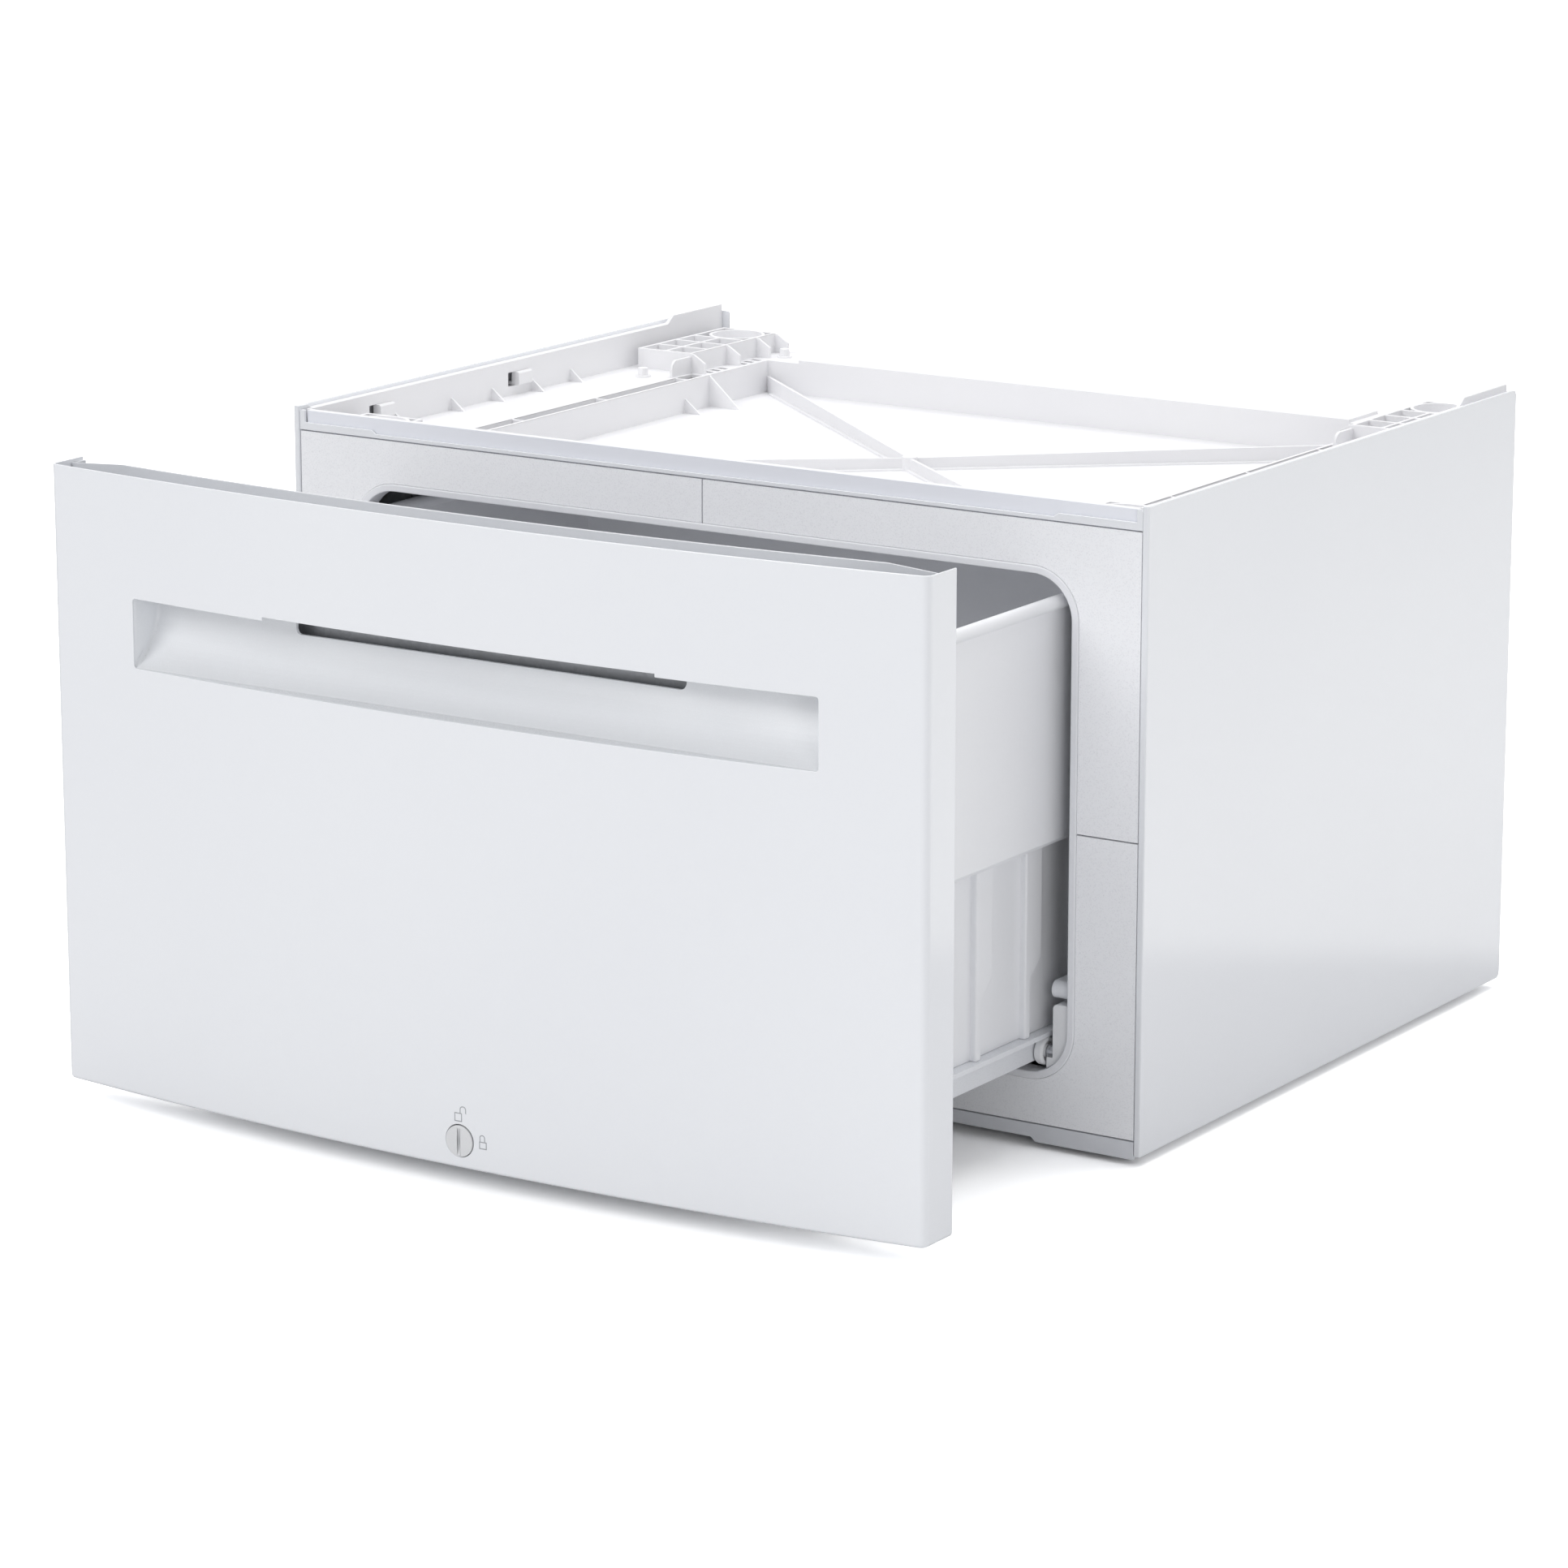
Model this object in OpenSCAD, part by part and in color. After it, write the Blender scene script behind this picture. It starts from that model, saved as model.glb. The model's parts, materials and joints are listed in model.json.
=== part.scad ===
// Washer pedestal with one pull-out drawer, stored with the drawer partly open.
// X runs to the right, Y to the rear and Z up. The origin lies on the floor,
// midway between the four levelling feet.

/* [Cabinet] */
// Width over the two side panels
cabinet_w = 597; // [560:1:660]
// Depth of the side panels
cabinet_d = 458; // [440:1:520]
// Height of the side panels' top edge above the floor
cabinet_h = 382; // [372:1:420]
// Gap between the floor and the side panels
floor_gap = 6; // [5:0.5:12]
// Thickness of the painted sheet steel
sheet_t = 1.2; // [0.8:0.1:1.6]
// Width of the folded front edge of a side panel
hem_w = 4.2; // [3.6:0.1:6]
// Depth of the folded front edge of a side panel
hem_d = 10; // [6:1:14]
// Width of the bent flanges at the rear and bottom of a side panel
return_w = 14; // [12:1:18]
// Radius of a side panel's two rear corners
panel_corner_r = 4; // [2:0.5:8]

/* [Front bezel] */
// Height of the bezel's lower edge above the floor
bezel_z0 = 15; // [14:0.5:20]
// Distance from the bezel's upper edge to the top of the side panels
bezel_drop = 15; // [13:0.5:20]
// Thickness of the bezel quarters
bezel_t = 2.5; // [2:0.1:3.5]
// How far the bezel's face lies behind the side panels' front edges
bezel_set_back = 0.8; // [0:0.1:2]
// Width of the seams between the bezel quarters
seam_w = 0.8; // [0.4:0.1:1.5]
// Height of the side seam above the trim ring's lower edge
bezel_seam_rise = 148; // [110:1:190]
// Depth of the stiffening lip round a bezel quarter's outer edge
bezel_lip_d = 2; // [1:0.5:2.5]

/* [Drawer opening] */
// Width of the bezel from a side panel's outside to the trim ring
bezel_w = 44.5; // [42:0.5:50]
// Height of the trim ring's lower edge
opening_z0 = 41; // [40:0.5:44]
// Distance from the side panels' top down to the trim ring
opening_drop = 41; // [32:0.5:44]
// Outer corner radius of the trim ring
opening_r = 30; // [20:1:40]
// Visible width of the trim ring
trim_w = 4.5; // [3:0.1:5]
// Depth of the trim ring
trim_d = 14; // [10:0.5:16]

/* [Top deck] */
// Wall thickness of the moulded deck
deck_t = 2.5; // [2:0.1:3]
// Distance from the deck's rim down from the top of the side panels
deck_drop = 2; // [1:0.5:3]
// Depth of the side channels below the deck's rim
channel_depth = 22; // [18:0.5:26]
// Distance from a side panel to the inner face of the deck's side wall
deck_wall_inset = 8.5; // [7:0.1:10]
// Depth of the drip pan below the side channels
pan_depth = 21; // [16:0.5:22]
// Distance from the cups' centre line to the drip pan's side
pan_to_cup = 32.5; // [30:0.5:42]
// Distance from the cabinet front to the drip pan
pan_front = 40; // [36:1:60]
// Distance from the drip pan to the rear of the cabinet
pan_rear = 40; // [34:1:60]
// Width of the open slot between the pan wall and the channel
slot_w = 9; // [6:0.5:10]
// Height of the raised rim at the rear of the drip pan
rear_rim_h = 2; // [1:0.5:4]
// Half width of that raised rim
rear_rim_half_w = 204; // [150:1:215]
// Height of the diagonal ribs where they meet the pan's corners
brace_end_h = 11; // [8:0.5:14]
// Height of the diagonal ribs at their crossing
brace_mid_h = 8; // [6:0.5:12]
// Height of the side walls' raised rear ends above their rim
wall_ear_h = 5; // [2:0.5:6]
// Length of the side walls' raised rear ends
wall_ear_l = 65; // [40:1:80]

/* [Washer feet cups] */
// Inner radius of a cup that takes one foot of the washer
cup_r = 16.4; // [14:0.1:17]
// Distance from a cup's axis to the side of the cabinet
cup_side = 38; // [34:0.5:44]
// Distance from the cabinet front to the front cups
cup_front = 36; // [34:1:44]
// Distance from the rear cups to the rear of the cabinet
cup_rear = 28; // [27:1:34]
// Height of the cups' rims above the side channels
cup_h = 13; // [10:0.5:16]
// Thickness of the floor under a cup
cup_floor_t = 3; // [2:0.5:5]
// Distance from the cabinet front to the side walls' first gusset
gusset_first = 90; // [70:1:110]
// Distance from the first gusset to the next one
gusset_step = 60; // [40:1:70]
// Distance between the gussets that follow
gusset_pitch = 43.3; // [30:0.1:60]
// Length of the cell grid in front of a rear cup
grid_l = 64; // [50:1:80]
// Number of cells along the grid
grid_cells = 3; // [2:1:5]

/* [Drawer front] */
// How far the drawer front stands back from each side of the cabinet
front_inset = 1.5; // [0:0.1:4]
// Height of the drawer front's lower edge above the floor
front_z0 = 14; // [12:0.5:18]
// Height of the drawer front's upper edge above the side panels
front_rise = 0; // [-4:0.5:6]
// Thickness of the front skin
skin_t = 1.2; // [1:0.1:1.6]
// Depth of the skin's side flanges
flange_d = 28; // [26:0.5:32]
// How far the middle of the skin bows out past its edges
bow_h = 18.5; // [12:0.5:22]
// Radius of the skin's upright edges
edge_r = 5; // [3:0.5:8]
// Gap between the closed drawer front and the cabinet
front_gap = 1; // [1:0.1:2]
// Distance from the outside of the skin to the inner panel
inner_depth = 17; // [15:0.5:20]
// Thickness of the inner panel
inner_t = 2; // [1.5:0.1:2.5]
// Thickness of the sheet that closes the back of the front
back_sheet_t = 1.5; // [1:0.1:2]
// Distance from the drawer front's upper edge down to that sheet
back_sheet_drop = 37; // [12:1:42]

/* [Handle] */
// Width of the handle recess
handle_w = 466; // [300:1:480]
// Distance from the drawer front's upper edge down to the recess's lower edge
handle_drop = 111.5; // [100:0.5:130]
// Height of the recess's mouth
handle_h = 40.5; // [36:0.5:50]
// Radius of the scoop's curved wall, which turns upright at the top
scoop_r = 44; // [36:0.5:56]
// Width of the scoop's level floor at the recess's ends
scoop_floor_d = 1; // [0:0.5:4]
// Distance from the scoop's back wall to the back of the drawer front
scoop_back = 11; // [8:0.5:13]
// Height of the finger pocket above the mouth
pocket_h = 19; // [14:0.5:24]
// Wall thickness of the scoop
scoop_t = 2; // [1.5:0.1:2.5]
// Width of the slot through the scoop's back wall
slot_open_w = 266.6; // [150:0.2:280]
// Height of the slot's lower edge above the recess's lower edge
slot_rise = 27.5; // [24:0.5:32]
// Depth of the shallow notch in the skin above the mouth
notch_h = 2; // [1:0.5:4]

/* [Drawer tub] */
// Clearance between the tub's rim and the trim ring at the sides
rim_side_gap = 7; // [5:0.5:12]
// Distance from the middle of the rim down to the step in the tub's sides
tub_step_drop = 140.5; // [100:0.5:170]
// Distance from the trim ring's upper edge down to the middle of the tub's rim
rim_drop = 20; // [17:0.5:40]
// Radius of the rolled rim
tub_rim_r = 4; // [3:0.5:5]
// Clearance between the tub's underside and the trim ring
tub_floor_gap = 7.5; // [6:0.5:11]
// Distance from the tub's rear wall to the rear of the cabinet when closed
tub_rear_gap = 33; // [30:1:80]
// Wall thickness of the tub
tub_t = 2.5; // [2:0.1:3]
// How far the upright ribs stand out of the tub's lower part
rib_out = 4; // [2:0.5:5]
// Distance from one upright rib to the next
rib_pitch = 54; // [45:1:80]
// Width of the upper part of a rib
rib_w = 18; // [12:0.5:24]
// Width of the lower part of a rib
rib_low_w = 6; // [4:0.5:9]

/* [Slides] */
// How far the drawer stands open as stored
open_rest = 200; // [0:1:340]
// Radius of the four rollers
roller_r = 8.3; // [7:0.1:9]
// Width of a roller
roller_w = 5.5; // [4:0.1:6]
// Height of the front rollers' axis above the inside of the trim ring
roller_rise = 11.5; // [10.5:0.5:14]
// Distance from the cabinet front to the front rollers' axis
roller_y = 8; // [7:0.5:11]
// Radius of the roller axles
axle_r = 2.5; // [2:0.1:3]
// Radial clearance between an axle and its roller
axle_fit = 0.06; // [0.02:0.01:0.1]
// Clearance between a roller and what it rolls on
roll_gap = 0.3; // [0.2:0.05:0.5]
// Width of the drawer rail's flange outside the tub
rail_flange_w = 7; // [6.8:0.1:7.4]
// Thickness of the drawer rail's flange
rail_flange_t = 3.1; // [2:0.1:4]
// Height of the drawer rail's upright web
rail_web_h = 14.3; // [8:0.1:14.6]
// Thickness of the drawer rail's web
rail_web_t = 1.9; // [1.2:0.1:2]
// Height of the cabinet runner's lower flange above the front rollers' axis
runner_rise = 14.3; // [10:0.1:16]
// Clearance between the cabinet runners' webs and the trim ring's inside
runner_side_gap = 0.5; // [0.3:0.1:2]
// Clearance between a drawer rail and the cabinet runner's flanges
rail_gap = 3; // [2:0.1:4]
// Width of the cabinet runner's flanges
runner_flange_w = 10; // [8:0.5:11]
// Height of the cabinet runner's upper flange
runner_top_h = 10.5; // [6:0.5:14]

/* [Lock] */
// Distance of the lock from the middle of the drawer front
lock_x = 2; // [-20:1:20]
// Height of the lock's axis above the floor
lock_z = 30; // [29.5:0.5:31]
// Radius of the lock's knob
knob_r = 9.5; // [8:0.5:11]
// Width of the coin slot in the knob
coin_slot_w = 1.4; // [1:0.1:2.5]
// Radius of the lock's spindle
spindle_r = 3; // [2.5:0.1:3.1]
// Length of the locking bar
cam_l = 16; // [14:0.5:17]
// Width of the locking bar
cam_w = 5; // [4:0.1:6]
// Thickness of the locking bar
cam_t = 2.8; // [2:0.1:4]

/* [Levelling feet] */
// Radius of a foot's disc
foot_r = 17; // [12:0.5:20]
// Thickness of a foot's disc
foot_disc_h = 4.5; // [3:0.5:4.5]
// Radius of a foot's threaded stud
stud_r = 4; // [3:0.5:5]
// Length of a foot's stud above its disc
stud_l = 42; // [30:1:60]
// Distance from a foot's axis to the side of the cabinet
foot_inset_x = 30.5; // [28:0.5:40]
// Distance from a foot's axis to the front or rear of the cabinet
foot_inset_y = 40; // [34:1:60]

/* [Hidden] */
$fn = 48;

// Clearances between neighbours
seat_gap = 0.1;
weld_gap = 0.05;
clear_gap = 0.3;
// Overrun that keeps a cut clear of the faces it goes through
over = 1;

half_w = cabinet_w / 2;
bead_pitch = cabinet_w / 4;
opening_w = cabinet_w - 2 * bezel_w;
opening_z1 = cabinet_h - opening_drop;
bezel_seam_z = opening_z0 + bezel_seam_rise;
panel_inner = half_w - sheet_t;
hem_inner = half_w - hem_w;
bezel_half_w = hem_inner - 0.5;
bezel_z1 = cabinet_h - bezel_drop;
bezel_back = bezel_set_back + bezel_t;
bezel_lip_t = 0.4;

// Front frame and what hangs on it
frame_t = 1.6;
frame_y0 = bezel_back + seat_gap;
frame_y1 = frame_y0 + frame_t;
frame_margin = 1;

// Deck levels and outlines
deck_top = cabinet_h - deck_drop;
channel_z = deck_top - channel_depth;
pan_z = channel_z - pan_depth;
pan_rear_y = cabinet_d - pan_rear;
deck_wall_in = half_w - deck_wall_inset;
deck_wall_out = deck_wall_in + deck_t;
deck_front_y = frame_y1 + seat_gap;
deck_rear_y = cabinet_d - sheet_t - seat_gap;
cup_x = half_w - cup_side;
pan_half_w = cup_x - pan_to_cup;
slot_in = pan_half_w + deck_t;
slot_out = slot_in + slot_w;
cup_wall = 2.2;
cup_top = channel_z + cup_h;
rear_cup_y = cabinet_d - cup_rear;
block_half = cup_r + cup_wall;
block_in = cup_x - block_half - 0.5;
block_out = cup_x + block_half + 4.5;
grid_y0 = rear_cup_y - block_half - grid_l;
ladder_y0 = grid_y0 - 3;
brace_t = 2.2;
brace_foot_w = 8;
brace_foot_h = 1.2;
hub_r = 5;
clip_ys = [76, 222];
clip_l = 22;

// Runners, from which the tub and the side frames take their places
roller_z = opening_z0 + trim_w + roller_rise;
trim_inner_half_w = opening_w / 2 - trim_w;
runner_web_t = 2;
runner_half_w = trim_inner_half_w - runner_side_gap - runner_web_t;
runner_in = runner_half_w - runner_flange_w;
bracket_y0 = 3;
bracket_l = 16;
runner_y0 = bracket_y0 + bracket_l + seat_gap;

// Side frames: folded steel posts and rails on each side
post_in = runner_half_w + runner_web_t + 2 * seat_gap;
post_out = panel_inner - seat_gap;
post_t = 1.5;
nut_r = 8;
post_d = foot_inset_y + nut_r;
post_front_y = frame_y1 + seat_gap;
post_front_in = opening_w / 2 + 1;
post_front_out = bezel_half_w - bezel_lip_t - seat_gap;
post_rear_y = cabinet_d - post_d - 10;
sill_y0 = runner_y0 + seat_gap;
side_z0 = floor_gap + sheet_t + seat_gap;
side_z1 = channel_z - deck_t - seat_gap;

// Drawer front
front_half_w = half_w - front_inset;
front_z1 = cabinet_h + front_rise;
handle_z0 = front_z1 - handle_drop;
back_sheet_z1 = front_z1 - back_sheet_drop;
front_back_y = -front_gap;
front_edge_y = front_back_y - flange_d;
front_mid_y = front_edge_y - bow_h;
bow_r = (front_half_w * front_half_w + bow_h * bow_h) / (2 * bow_h);
bow_y = front_mid_y + bow_r;
edge_x = front_half_w - edge_r;
edge_y = bow_y - sqrt(pow(bow_r - edge_r, 2) - edge_x * edge_x);
bow_fn = 1440;
inner_half_w = front_half_w - skin_t - seat_gap;
inner_z0 = lock_z + 13;
inner_z1 = front_z1 - 2;
back_sheet_y = front_back_y - back_sheet_t;
back_sheet_half_w = inner_half_w - inner_t - seat_gap;
handle_half_w = handle_w / 2;
handle_z1 = handle_z0 + handle_h;
scoop_y = front_back_y - scoop_back;
scoop_foot_y = bow_y - sqrt(bow_r * bow_r - handle_half_w * handle_half_w) + scoop_floor_d;
scoop_mid_z = handle_z0 + sqrt(scoop_r * scoop_r - pow(scoop_r - scoop_y + scoop_foot_y, 2));
scoop_top = handle_z1 + pocket_h;
slot_half_w = slot_open_w / 2;

// Tub
tub_half_w = trim_inner_half_w - rim_side_gap - tub_rim_r + 0.5;
tub_low_half_w = runner_in - rail_gap - rail_flange_w;
tub_rim_z = opening_z1 - rim_drop;
tub_step_z = tub_rim_z - tub_step_drop;
tub_z0 = opening_z0 + trim_w + tub_floor_gap;
tub_l = cabinet_d - tub_rear_gap;

// Slides
rail_z1 = roller_z + roller_r + roll_gap + rail_flange_t;
rail_z0 = rail_z1 - rail_flange_t - rail_web_h;
rail_in = tub_low_half_w - rail_web_t;
rail_out = tub_low_half_w + rail_flange_w;
rail_y0 = 2;
front_roller_x = rail_out - 0.6 - roller_w;
bracket_in = rail_out + 4.5;
bracket_foot_in = rail_out + 0.5;
bracket_z1 = roller_z + 29.8;
bracket_foot_z = roller_z - 2.1;
axle_shoulder_r = axle_r + 1.9;
axle_seat_l = 4;
runner_t = 2;
runner_z0 = roller_z + runner_rise - runner_t;
runner_z1 = roller_z + runner_rise + roll_gap + 2 * roller_r + 1.2;
runner_nose_y = bracket_y0 + 1;
runner_y1 = cabinet_d - 18;
rear_roller_z = roller_z + runner_rise + roll_gap + roller_r;
rear_roller_x = runner_in + 0.6;
rear_rib_margin = 78;
rear_axle_y = tub_l - 14;
plate_in = rail_out - 2.8;
plate_l = 26;

// Lock
cam_slot_w = 2 * spindle_r + 0.6;
cam_slot_h = cam_l + 1.6;
striker_t = 1.2;
striker_y = frame_y1 + seat_gap;
cam_y = striker_y + striker_t + 0.6;
knob_y = front_mid_y - 0.7;
knob_t = 4.6;
housing_r = 12;
housing_y = knob_y + knob_t + clear_gap;

// Feet
foot_x = half_w - foot_inset_x;
foot_ys = [foot_inset_y, cabinet_d - foot_inset_y];
foot_top = side_z0 - clear_gap;
foot_bore_z = foot_disc_h - 1.5;
nut_h = 8;
thread_fit = 0.05;

// Fasteners
screw_r = 2;
screw_head_r = 4;
screw_head_h = 1.6;
flat_head_h = 0.8;
rear_screw_x = half_w - return_w / 2;
rear_screw_zs = [60, bezel_seam_z, pan_z - 17];
front_screw_x = back_sheet_half_w - 12;
front_screw_zs = [40, bezel_seam_z, back_sheet_z1 - 12];
tub_screw_x = tub_low_half_w - 22;
tub_screw_zs = [tub_z0 + 30, tub_step_z, tub_rim_z - 30];
bumper_r = 6;
bumper_x = back_sheet_half_w - 24;
bumper_zs = [60, back_sheet_z1 - 24];

// Moves from the cabinet's front plane to the middle of the footprint.
module in_cabinet() {
    translate([0, -cabinet_d / 2, 0]) children();
}

// The same for what rides on the drawer, at the stored opening.
module in_drawer() {
    translate([0, -cabinet_d / 2 - open_rest, 0]) children();
}

// Draws a right-hand part, or its mirror image for the left side.
module on_side(side) {
    if (side < 0) mirror([1, 0, 0]) children();
    else children();
}

// Sweeps an outline drawn in X and Z along Y.
module along_y(y0, length) {
    translate([0, y0 + length, 0]) rotate([90, 0, 0]) linear_extrude(length) children();
}

// Sweeps an outline drawn in Y and Z along X.
module along_x(x0, length) {
    translate([x0, 0, 0]) rotate([90, 0, 90]) linear_extrude(length) children();
}

module box(x0, x1, y0, y1, z0, z1) {
    translate([x0, y0, z0]) cube([x1 - x0, y1 - y0, z1 - z0]);
}

module rod_x(x0, x1, y, z, r) {
    translate([x0, y, z]) rotate([0, 90, 0]) cylinder(r = r, h = x1 - x0);
}

module rod_y(x, y0, y1, z, r) {
    translate([x, y1, z]) rotate([90, 0, 0]) cylinder(r = r, h = y1 - y0);
}

module rod_z(x, y, z0, z1, r) {
    translate([x, y, z0]) cylinder(r = r, h = z1 - z0);
}

// Rectangle with round corners.
module rounded(x0, x1, y0, y1, r) {
    translate([x0 + r, y0]) square([x1 - x0 - 2 * r, y1 - y0]);
    translate([x0, y0 + r]) square([x1 - x0, y1 - y0 - 2 * r]);
    for (x = [x0 + r, x1 - r], y = [y0 + r, y1 - r]) translate([x, y]) circle(r);
}

// Opening of the bezel and the front frame, grown by a gap.
module opening(gap) {
    rounded(-opening_w / 2 - gap, opening_w / 2 + gap, opening_z0 - gap, opening_z1 + gap,
        opening_r + gap);
}

// ---- Cabinet shell ----

// Folded sheet: outer wall, rolled front edge, and rear, bottom and top returns.
module side_panel(side) {
    fold_r = hem_w / 4;
    color("whitesmoke") in_cabinet() on_side(side) difference() {
        intersection() {
            union() {
                box(panel_inner, half_w, hem_d, cabinet_d, floor_gap, cabinet_h);
                translate([0, 0, floor_gap]) linear_extrude(cabinet_h - floor_gap) {
                    translate([hem_inner, fold_r]) square([hem_w, hem_d - fold_r]);
                    translate([hem_inner + fold_r, 0]) square([hem_w - 2 * fold_r, fold_r]);
                    for (x = [hem_inner + fold_r, half_w - fold_r]) translate([x, fold_r]) circle(fold_r);
                }
                box(half_w - return_w, half_w, cabinet_d - sheet_t, cabinet_d, floor_gap, cabinet_h);
                box(half_w - return_w, half_w, hem_d, cabinet_d, floor_gap, floor_gap + sheet_t);
                box(half_w - 2 * sheet_t, half_w, hem_d, cabinet_d, cabinet_h - 8, cabinet_h);
            }
            along_x(0, half_w + over) union() {
                translate([-over, floor_gap]) square([cabinet_d / 2, cabinet_h - floor_gap]);
                rounded(0, cabinet_d, floor_gap, cabinet_h, panel_corner_r);
            }
        }
        for (z = rear_screw_zs) rod_y(rear_screw_x, cabinet_d - 2 * sheet_t, cabinet_d + over, z, screw_r + 0.05);
    }
}

module back_panel() {
    y1 = cabinet_d - sheet_t - seat_gap;
    color("gainsboro") in_cabinet() difference() {
        union() {
            box(-panel_inner + clear_gap, panel_inner - clear_gap, y1 - sheet_t, y1,
                side_z0 + 2, pan_z - deck_t - seat_gap);
            for (x = [-1, 0, 1]) box(x * bead_pitch - 20, x * bead_pitch + 20, y1 - sheet_t - 3, y1 - sheet_t,
                side_z0 + 40, pan_z - 60);
        }
        for (x = [-rear_screw_x, rear_screw_x], z = rear_screw_zs)
            rod_y(x, y1 - 2 * sheet_t, y1 + over, z, screw_r + 0.05);
    }
}

// Post folded to a channel that opens towards the drawer.
module post(y, x0, x1) {
    box(x1 - post_t, x1, y, y + post_d, side_z0, side_z1);
    box(x0, x1, y, y + post_t, side_z0, side_z1);
    box(x0, x1, y + post_d - post_t, y + post_d, side_z0, side_z1);
}

// Two folded posts, joined by a sill, a head rail and the strip that carries the runner.
module side_frame(side) {
    color("silver") in_cabinet() on_side(side) difference() {
        union() {
            post(post_front_y, post_front_in, post_front_out);
            post(post_rear_y, post_in, post_out);
            box(post_in, post_out, sill_y0, post_rear_y + post_d, side_z0, side_z0 + post_t);
            box(post_in, post_out, sill_y0, post_rear_y + post_d, side_z1 - post_t, side_z1);
            box(post_in, post_in + post_t, sill_y0, post_rear_y + post_d,
                runner_z0 - 4, runner_z1 + runner_top_h + 3);
            box(post_in, post_in + post_t + 8, post_front_y + post_d - post_t, post_front_y + post_d,
                side_z0, side_z1);
        }
        for (y = foot_ys) rod_z(foot_x, y, side_z0 - over, side_z0 + post_t + over, stud_r + 1);
    }
}

module base_plate() {
    x1 = post_in - seat_gap;
    y1 = cabinet_d - 2 * sheet_t - 3 * seat_gap;
    color("silver") in_cabinet() {
        box(-x1, x1, striker_y, y1, side_z0, side_z0 + sheet_t);
        box(-x1, x1, striker_y, striker_y + sheet_t, side_z0, lock_z - cam_slot_h / 2 - 3);
        box(-x1, x1, y1 - sheet_t, y1, side_z0, side_z0 + 1.7);
        for (x = [-bead_pitch, 0, bead_pitch]) box(x - 20, x + 20, sill_y0, y1 - 20, side_z0 + sheet_t - 0.2, side_z0 + 4);
    }
}

module plinth_strip() {
    ends = 226;
    z1 = bezel_z0 - seam_w;
    color("gainsboro") in_cabinet() {
        along_y(bezel_set_back, bezel_t) polygon([
            [-bezel_half_w, z1], [-bezel_half_w, floor_gap - 2.4], [-ends - 3, floor_gap - 2.4],
            [-ends, floor_gap + 0.3], [ends, floor_gap + 0.3], [ends + 3, floor_gap - 2.4],
            [bezel_half_w, floor_gap - 2.4], [bezel_half_w, z1]
        ]);
        box(-bezel_half_w, bezel_half_w, bezel_back, striker_y - seat_gap, side_z0 + 1, side_z0 + 3);
    }
}

// Sheet steel frame behind the bezel, with the drawer opening and the lock's slot.
module front_frame() {
    color("silver") in_cabinet() difference() {
        along_y(frame_y0, frame_t) difference() {
            translate([-post_front_out, side_z0 + 4])
                square([2 * post_front_out, bezel_z1 - frame_margin - side_z0 - 4]);
            opening(seat_gap);
        }
        lock_slot(frame_y0 - over, frame_y1 + over, cam_slot_w + 2, cam_slot_h + 2);
    }
}

module lock_slot(y0, y1, w, h) {
    box(lock_x - w / 2, lock_x + w / 2, y0, y1, lock_z - h / 2, lock_z + h / 2);
}

// Painted rail above the bezel: low in the middle, raised at the ends and turned up beside the panels.
module front_top_rail() {
    x1 = hem_inner - seat_gap;
    z0 = bezel_z1 + seam_w;
    z_mid = z0 + 2.5;
    z_end = z_mid + 2.2;
    step_x = 237;
    post_x = x1 - 3.9;
    corner = 2;
    color("white") in_cabinet() along_y(bezel_set_back - 0.2, bezel_t - 0.7) difference() {
        polygon([
            [-x1, z0], [x1, z0], [x1, deck_top], [post_x, deck_top], [post_x, z_end], [step_x + 3, z_end],
            [step_x, z_mid], [-step_x, z_mid], [-step_x - 3, z_end], [-post_x, z_end], [-post_x, deck_top],
            [-x1, deck_top]
        ]);
        for (x = [-x1, x1]) translate([x, deck_top]) circle(corner / 2);
    }
}

// One L-shaped quarter of the bezel; upper and lower ones meet at the side seam.
module bezel_quarter(side, upper) {
    z0 = upper ? bezel_seam_z + seam_w / 2 : bezel_z0;
    z1 = upper ? bezel_z1 : bezel_seam_z - seam_w / 2;
    outer_z = upper ? z1 - bezel_t : z0;
    color("lightgray") in_cabinet() on_side(side) difference() {
        union() {
            along_y(bezel_set_back, bezel_t) difference() {
                translate([seam_w / 2, z0]) square([bezel_half_w - seam_w / 2, z1 - z0]);
                opening(seat_gap);
            }
            box(bezel_half_w - bezel_lip_t, bezel_half_w, bezel_back, bezel_back + bezel_lip_d, z0, z1);
        }
        if (!upper) on_side(side) lock_slot(-over, bezel_back + over, cam_slot_w + 3, cam_slot_h + 1);
    }
}

module opening_trim() {
    color("whitesmoke") in_cabinet() along_y(0, trim_d) difference() {
        opening(0);
        opening(-trim_w);
    }
}

// ---- Top deck ----

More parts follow.
